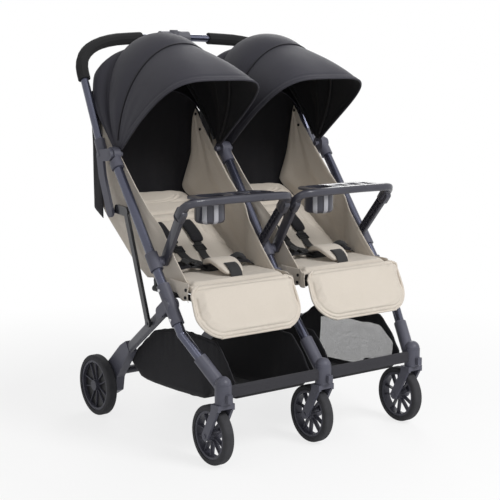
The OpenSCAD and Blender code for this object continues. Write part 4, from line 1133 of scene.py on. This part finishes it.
def leg_pad(x):
    """The leg rest, whose cloth rolls over the seat's front rail."""
    sections = []
    for degrees in np.linspace(100, 158, 13):
        a = math.radians(degrees)
        out = heading(a)
        start = smooth((degrees - 96) / 14)
        sections.append(((x, *(LEG_AXIS + LEG_ROLL * out)), out, roll_half(a), 4.2 * (0.3 + 0.7 * start)))
    near, foot = (8, 11, 14, 18), LEG_END - np.array((9, 5, 2, 0))
    for along in np.concatenate([near, np.linspace(22, LEG_END - 14, 30), foot]):
        taper = domed(LEG_END - along, 12)
        front = leg_front(along)
        back = np.interp(along, (8, 11, 14, 18, 22, 40), (5.0, 1.5, -2.0, -4.5, -6.0, -9.0))
        y, z = LEG_AXIS + LEG_WAY * along + LEG_OUT * (front + back) / 2
        half = rounded_half(LEG_HALF, along, LEG_END, 0, LEG_CORNER, -2.5)
        sections.append(((x, y, z), LEG_OUT, half, (front - back) / 2 * taper + 0.4))
    piece = finer(stuffed(loft("leg_pad", sections, BEIGE, boxy=9), 0.006, LEG_OUT, voxel=0.004))

    def quilt(p, n):
        a, from_axis = np.abs(p[:, 0] - x), p[:, 1:] - LEG_AXIS
        along = from_axis @ LEG_WAY
        top = smooth((from_axis @ LEG_OUT + 1) / 5)
        low = along > LEG_END - LEG_CORNER
        corner = np.hypot(np.maximum(0, a - LEG_HALF + LEG_CORNER),
            np.maximum(0, along - LEG_END + LEG_CORNER))
        rim = np.where(low, LEG_CORNER - corner, LEG_HALF - a)
        move = groove(rim - 8, 2.2, 2.4) * smooth((along - 18) / 8)
        on_roll = smooth((30 - np.linalg.norm(from_axis, axis=1)) / 6) * (from_axis[:, 1] > 0)
        seam = (np.arctan2(from_axis[:, 1], from_axis[:, 0]) - LEG_SEAM) * LEG_ROLL
        move = move * top + groove(seam, 2.4, 2.6) * on_roll
        moves = n * (move + ripple(p, 55, 0.6, 14.0) * top)[:, None]
        moved = p[:, 1:] + moves[:, 1:] - LEG_AXIS
        far = np.linalg.norm(moved, axis=1)
        short = np.where(far < LEG_RAIL, LEG_RAIL - far, 0)[:, None]
        moves[:, 1:] += short * moved / np.maximum(far, 1e-6)[:, None]
        return moves

    return pushed(piece, quilt)


def leg_piping(x):
    """The piped edge of a leg rest, from one end of the roll round its foot to the other."""
    line = [(roll_half(a) - 1, *(LEG_AXIS + LEG_ROLL * heading(a)))
        for a in np.radians((101, 108, 117, 128, 142, 158))]
    round_foot = LEG_END - LEG_CORNER * (1 - np.sin(np.radians(np.linspace(8, 90, 14))))
    for along in np.concatenate([np.linspace(12, LEG_END - LEG_CORNER, 9), round_foot]):
        half = rounded_half(LEG_HALF, along, LEG_END, 0, LEG_CORNER, -2.5)
        line.append((half, *(LEG_AXIS + LEG_WAY * along + LEG_OUT * (leg_front(along) - 10) * 0.9)))
    half = np.array(line)
    path = curved(np.concatenate([half, half[::-1] * (-1, 1, 1)]), 150) + (x, 0, 0)
    return tube("leg_piping", path, 3.4, BEIGE)


def moved_copy(piece, name, shift):
    """A copy with its own mesh, shifted across in millimetres."""
    made = piece.copy()
    made.data = piece.data.copy()
    scene.collection.objects.link(named(made, name))
    made.data.transform(Matrix.Translation((shift / 1000, 0, 0)))
    return made


def dress_pads():
    masters = {"backrest": (backrest_pad, seat_mid(1)), "seat_pad": (seat_pad, seat_mid(1)),
        "leg_rest": (leg_pad, LEG_X), "leg_rest_piping": (leg_piping, LEG_X)}
    for part, (make, x) in masters.items():
        kind = "" if part == "leg_rest_piping" else "_cushion"
        master = named(make(-x), f"{part}{kind}_left")
        twin = moved_copy(master, f"{part}{kind}_right", 2 * x)
        for piece, name, way in ((master, "left", -1), (twin, "right", 1)):
            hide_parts(f"{part.removesuffix('_piping')}_{name}")
            if part.startswith("leg_rest"):
                "leg_rest_" + name
                place((way * x, 116, 447))
                place((way * x, *(LEG_AXIS + 20 * LEG_WAY)))
                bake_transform(piece)
            else:
                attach(piece, "chassis" if part == "seat_pad" else "backrest_" + name)


# Baskets

BASKET_Y = (9, 10, 14, 22, 60, 100, 131, 158, 213, 280, 344, 400, 440, 468, 486, 494)
BASKET_FLOOR = (203, 188, 174, 165, 163, 162, 159, 135, 131, 127, 125, 124, 125, 129, 142, 160)
BASKET_TOP_Y = (9, 40, 86, 180, 267, 371, 420, 460, 494)
BASKET_TOP = (207, 252, 296, 300, 299, 274, 238, 206, 176)
BASKET_X = (36.0, 279.0)
NET_WINDOW = (slice(9, 62), slice(3, 13))


def dress_basket(name, side):
    """A soft basket with a sagging floor, gathered sides, elastic tops and, on the right, a net window."""
    inner, outer = BASKET_X
    wall, floor = 14, 26
    grid = []
    for depth, low in resample(np.array(list(zip(BASKET_Y, BASKET_FLOOR)), float), 91):
        top = np.interp(depth, BASKET_TOP_Y, BASKET_TOP)
        up = np.linspace(1, 0, wall, endpoint=False)
        middle = np.linspace(0, 1, floor)
        sag = -3.5 * np.sin(np.pi * middle) * smooth((depth - 150) / 60) * smooth((490 - depth) / 60)
        gather = 1.5 * math.sin(depth / 9.5 + 2 * math.sin(depth / 31)) + 1.1 * math.sin(depth / 5.1 + 1)
        wave = gather * up ** 4
        in_x = inner + 14 * (1 - up) ** 3 + np.abs(wave) * 0.4 + 1.5 * np.sin(np.pi * up)
        in_z = low + (max(top - 12, low + 3) - low) * up
        out_x = outer - 16 * (1 - up) ** 3 - 3 - np.abs(wave) * 0.6
        out_z = low + (max(top, low + 4) - low) * up
        line = [(a, depth, b + w * 0.4) for a, b, w in zip(in_x, in_z, wave)]
        line += [(a, depth, low + b) for a, b in zip(np.linspace(in_x[-1] + 2, out_x[-1] - 2, floor), sag)]
        line += [(a, depth, b + w * 0.4) for a, b, w in zip(out_x[::-1], out_z[::-1], wave[::-1])]
        grid.append(line)
    grid = np.array(grid)
    grid[..., 0] *= side
    if side > 0:
        grid = grid[:, ::-1]
    piece = cloth("basket_" + name, grid, 1.6, BLACK_CLOTH)
    piece.data.materials.append(NET)
    rows, columns, _ = grid.shape
    cells = np.arange((rows - 1) * (columns - 1)).reshape(rows - 1, columns - 1)
    for cell in cells[NET_WINDOW].ravel() if side > 0 else ():
        for face in (cell, cell + cells.size):
            piece.data.polygons[int(face)].material_index = 1
    edges = [tube(f"basket_elastic_{label}_{name}", grid[:, index][1:-1], 2.6, BLACK_CLOTH)
        for label, index in (("a", 0), ("b", -1))]
    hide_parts("baskets")
    for made in (piece, *edges):
        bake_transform(made)


# Harness


def on_back(x, along, height):
    return (x, *(RECLINE + BACK_WAY * along + BACK_OUT * height))


def on_strap(along, height):
    """A place on the right shoulder strap of a seat at the middle."""
    return on_back(30 + 16 * smooth((along - 40) / 110), along, height)


def blunt(share):
    """How full a pad is from its middle, 0, to its ends, -1 and 1."""
    return np.sqrt(np.clip(1 - np.abs(share) ** 6, 0, 1))


def strap_pad(name, path, across, width, thick):
    """A padded sleeve on a strap, rounded at both ends."""
    swell = blunt(np.linspace(-1, 1, len(path)))
    width, thick = width * (0.72 + 0.28 * swell), thick * (0.25 + 0.75 * swell)
    piece = finer(ribbon(name, path, across, width, thick, BLACK_CLOTH))
    return piece


def adjuster(name, middle, lean):
    """A sliding adjuster: a small plate with two slots for the strap and a bar between them."""
    plate = block(name, (34, 24, 4.2), middle, BLACK_PLASTIC, lean, 1.4)
    step = np.array((0, *(5.2 * heading(lean))))
    cut(plate, [block("slot", (26, 4.4, 20), np.add(middle, s * step), BLACK_PLASTIC, lean, 1.0)
        for s in (-1, 1)])
    return plate


WEB_WIDE = 25
STRAP_FROM_BUCKLE = [(17, 262, 460), (22, 285, 466), (28, 312, 469)]
WAIST_END = [(52, 250, 463), (66, 246, 474), (82, 240, 482), (96, 232, 478)]
CROTCH_TAB = [(166, 477.5), (156, 474.6), (146, 468.5), (138, 460), (134, 452), (133, 447.6)]


def dress_harness(name, side):
    x = seat_mid(side)
    for hand, s in HANDS:
        up_back = [on_strap(t, 19 + 2 * math.sin(t / 40) - 9 * smooth((t - 196) / 12))
            for t in np.linspace(58, 208, 14)]
        line = curved(np.array(STRAP_FROM_BUCKLE + up_back), 90) * (s, 1, 1) + (x, 0, 0)
        pad_line = curved(np.array([on_strap(t, 25.5) for t in np.linspace(104, 196, 10)]), 40)
        pad_line = pad_line * (s, 1, 1) + (x, 0, 0)
        shoulder = [ribbon(f"shoulder_strap_{hand}_{name}", line, (1, 0, 0), WEB_WIDE, 1.8, WEBBING),
            strap_pad(f"shoulder_pad_{hand}_{name}", pad_line, (1, 0, 0), 38, 9)]
        spot = on_back(x + s * 35, 84, 21.5)
        shoulder.append(adjuster(f"shoulder_adjuster_{hand}_{name}", spot, BACK_SLOPE))
        for piece in shoulder:
            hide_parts("shoulder_straps_" + name)
            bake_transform(piece)
        t = np.linspace(0, 1, 50)
        rise = 455 + 11 * np.sin(np.pi * t) - 3 * t
        path = np.stack([x + s * (24 + 112 * t), 246 + 6 * t ** 1.5, rise], axis=1)
        belt = (t > 0.42) & (t < 0.86)
        waist = [ribbon(f"waist_strap_{hand}_{name}", path, (0, 1, 0.25), WEB_WIDE, 1.8, WEBBING),
            strap_pad(f"waist_pad_{hand}_{name}", path[belt] + (0, 0, 4.6), (0, 1, 0.25), 36, 8),
            adjuster(f"waist_adjuster_{hand}_{name}", path[12] + (0, 0, 3.2), 0.2)]
        loose = curved(np.array(WAIST_END) * (s, 1, 1) + (x, 0, 0), 30)
        flat = (0.25 * s, 1, 0.3)
        waist.append(ribbon(f"waist_strap_end_{hand}_{name}", loose, flat, WEB_WIDE, 2.0, WEBBING))
        for piece in waist:
            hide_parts("waist_straps")
            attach(piece, "chassis")
    t = np.linspace(0, 1, 60)
    arch = np.stack([x + 0 * t, 252 - 112 * t, 463 + 21 * np.sin(np.pi * t ** 0.85) - 9 * t], axis=1)
    swell = blunt(2 * t - 1)
    width = (58 + 18 * np.sin(np.pi * t)) * (0.7 + 0.3 * swell)
    crotch = finer(ribbon("crotch_pad_" + name, arch, (1, 0, 0), width, 13 * (0.2 + 0.8 * swell), BEIGE))
    over = curved(np.array([(x, *spot) for spot in CROTCH_TAB]), 30)
    tail = ribbon("crotch_strap_" + name, over, (1, 0, 0), 36, 2.6, WEBBING)
    for piece, kind in ((crotch, "beige_fabric"), (tail, "webbing")):
        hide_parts("crotch_pads")
        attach(piece, "chassis")


dress_pads()
for label, way in SIDES:
    dress_canopy(label, way)
    dress_screen(label, way)
    for outer in (True, False):
        dress_wing(label, way, outer)
        dress_skirt(label, way, outer)
    dress_tray(label, way)
    dress_basket(label, way)
    dress_harness(label, way)
for label, way in (*SIDES, ("mid", 0)):
    dress_wheels(label, way)


# Stage

deselect()
bpy.ops.mesh.primitive_plane_add(size=30, location=(0, 0, -0.0005))
floor = bpy.context.object
floor.name = "floor"
FLOOR_NEAR, FLOOR_FAR = 0.75, 1.7
FLOOR_WHITE = 0.78
AMBIENT = 0.38


def seen_rays(tree):
    """1 for what the camera sees, straight or in a mirror or glass."""
    rays = tree.nodes.new("ShaderNodeLightPath")
    total = rays.outputs["Is Camera Ray"]
    for kind in ("Is Glossy Ray", "Is Transmission Ray"):
        most = tree.nodes.new("ShaderNodeMath")
        most.operation = "MAXIMUM"
        tree.links.new(total, most.inputs[0])
        tree.links.new(rays.outputs[kind], most.inputs[1])
        total = most.outputs[0]
    return total


floor_finish = Finish("pale_floor", Roughness=0.9, Specular_IOR_Level=0.1)
floor_finish.set("Base Color", (0.9, 0.9, 0.9, 1))
across, along, _ = floor_finish.axes(floor_finish.place())
away = (across ** 2 + along ** 2) ** 0.5
fade = ((away - FLOOR_NEAR) * (1 / (FLOOR_FAR - FLOOR_NEAR))).maths("MAXIMUM", 0.0).maths("MINIMUM", 1.0)
white = floor_finish.node("ShaderNodeEmission", None, {"Color": (1, 1, 1, 1), "Strength": 1.0})
seen = Value(floor_finish, seen_rays(floor_finish.tree))
blend = floor_finish.node("ShaderNodeMixShader", None, {0: (fade * (1 - FLOOR_WHITE) + FLOOR_WHITE) * seen,
    1: Value(floor_finish, floor_finish.shader.outputs[0]), 2: white})
floor_finish.tree.links.new(blend.socket, floor_finish.tree.nodes["Material Output"].inputs["Surface"])
floor.data.materials.append(floor_finish.material)

world = bpy.data.worlds.new("studio")
scene.world = world
world.use_nodes = True
background = world.node_tree.nodes["Background"]
strength = world.node_tree.nodes.new("ShaderNodeMath")
strength.operation = "MULTIPLY_ADD"
world.node_tree.links.new(seen_rays(world.node_tree), strength.inputs[0])
strength.inputs[1].default_value = 1 - AMBIENT
strength.inputs[2].default_value = AMBIENT
world.node_tree.links.new(strength.outputs[0], background.inputs["Strength"])
background.inputs["Color"].default_value = (1, 1, 1, 1)


def soft_lamp(name, spot, target, power):
    bpy.ops.object.light_add(type="AREA", location=spot)
    lamp = bpy.context.object
    lamp.name = name
    lamp.data.shape = "DISK"
    lamp.data.size = 1.6
    lamp.data.energy = power
    lamp.rotation_mode = "QUATERNION"
    lamp.rotation_quaternion = (Vector(target) - Vector(spot)).to_track_quat("-Z", "Y")


soft_lamp("key", (0.7, -3.0, 2.9), (0, 0, 0.5), 96)
soft_lamp("fill", (-2.6, -2.2, 1.7), (0, 0, 0.5), 10)
soft_lamp("rim", (2.2, 2.2, 2.4), (0, 0, 0.6), 30)

# Camera, as solved from the photo

CAMERA_AT = (-2.0091, -2.39434 - Y_MID, 1.01288)
CAMERA_WAY = (0.58790829, 0.79340395, -0.15771496)
FOCAL_PIXELS, PHOTO_PIXELS = 1243.54, 500
SENSOR = 36

bpy.ops.object.camera_add(location=CAMERA_AT)
camera = bpy.context.object
camera.rotation_mode = "QUATERNION"
camera.rotation_quaternion = Vector(CAMERA_WAY).to_track_quat("-Z", "Y")
camera.data.sensor_width = SENSOR
camera.data.lens = FOCAL_PIXELS / PHOTO_PIXELS * SENSOR
camera.data.clip_start, camera.data.clip_end = 0.05, 100
scene.camera = camera
scene.view_settings.view_transform = "Standard"
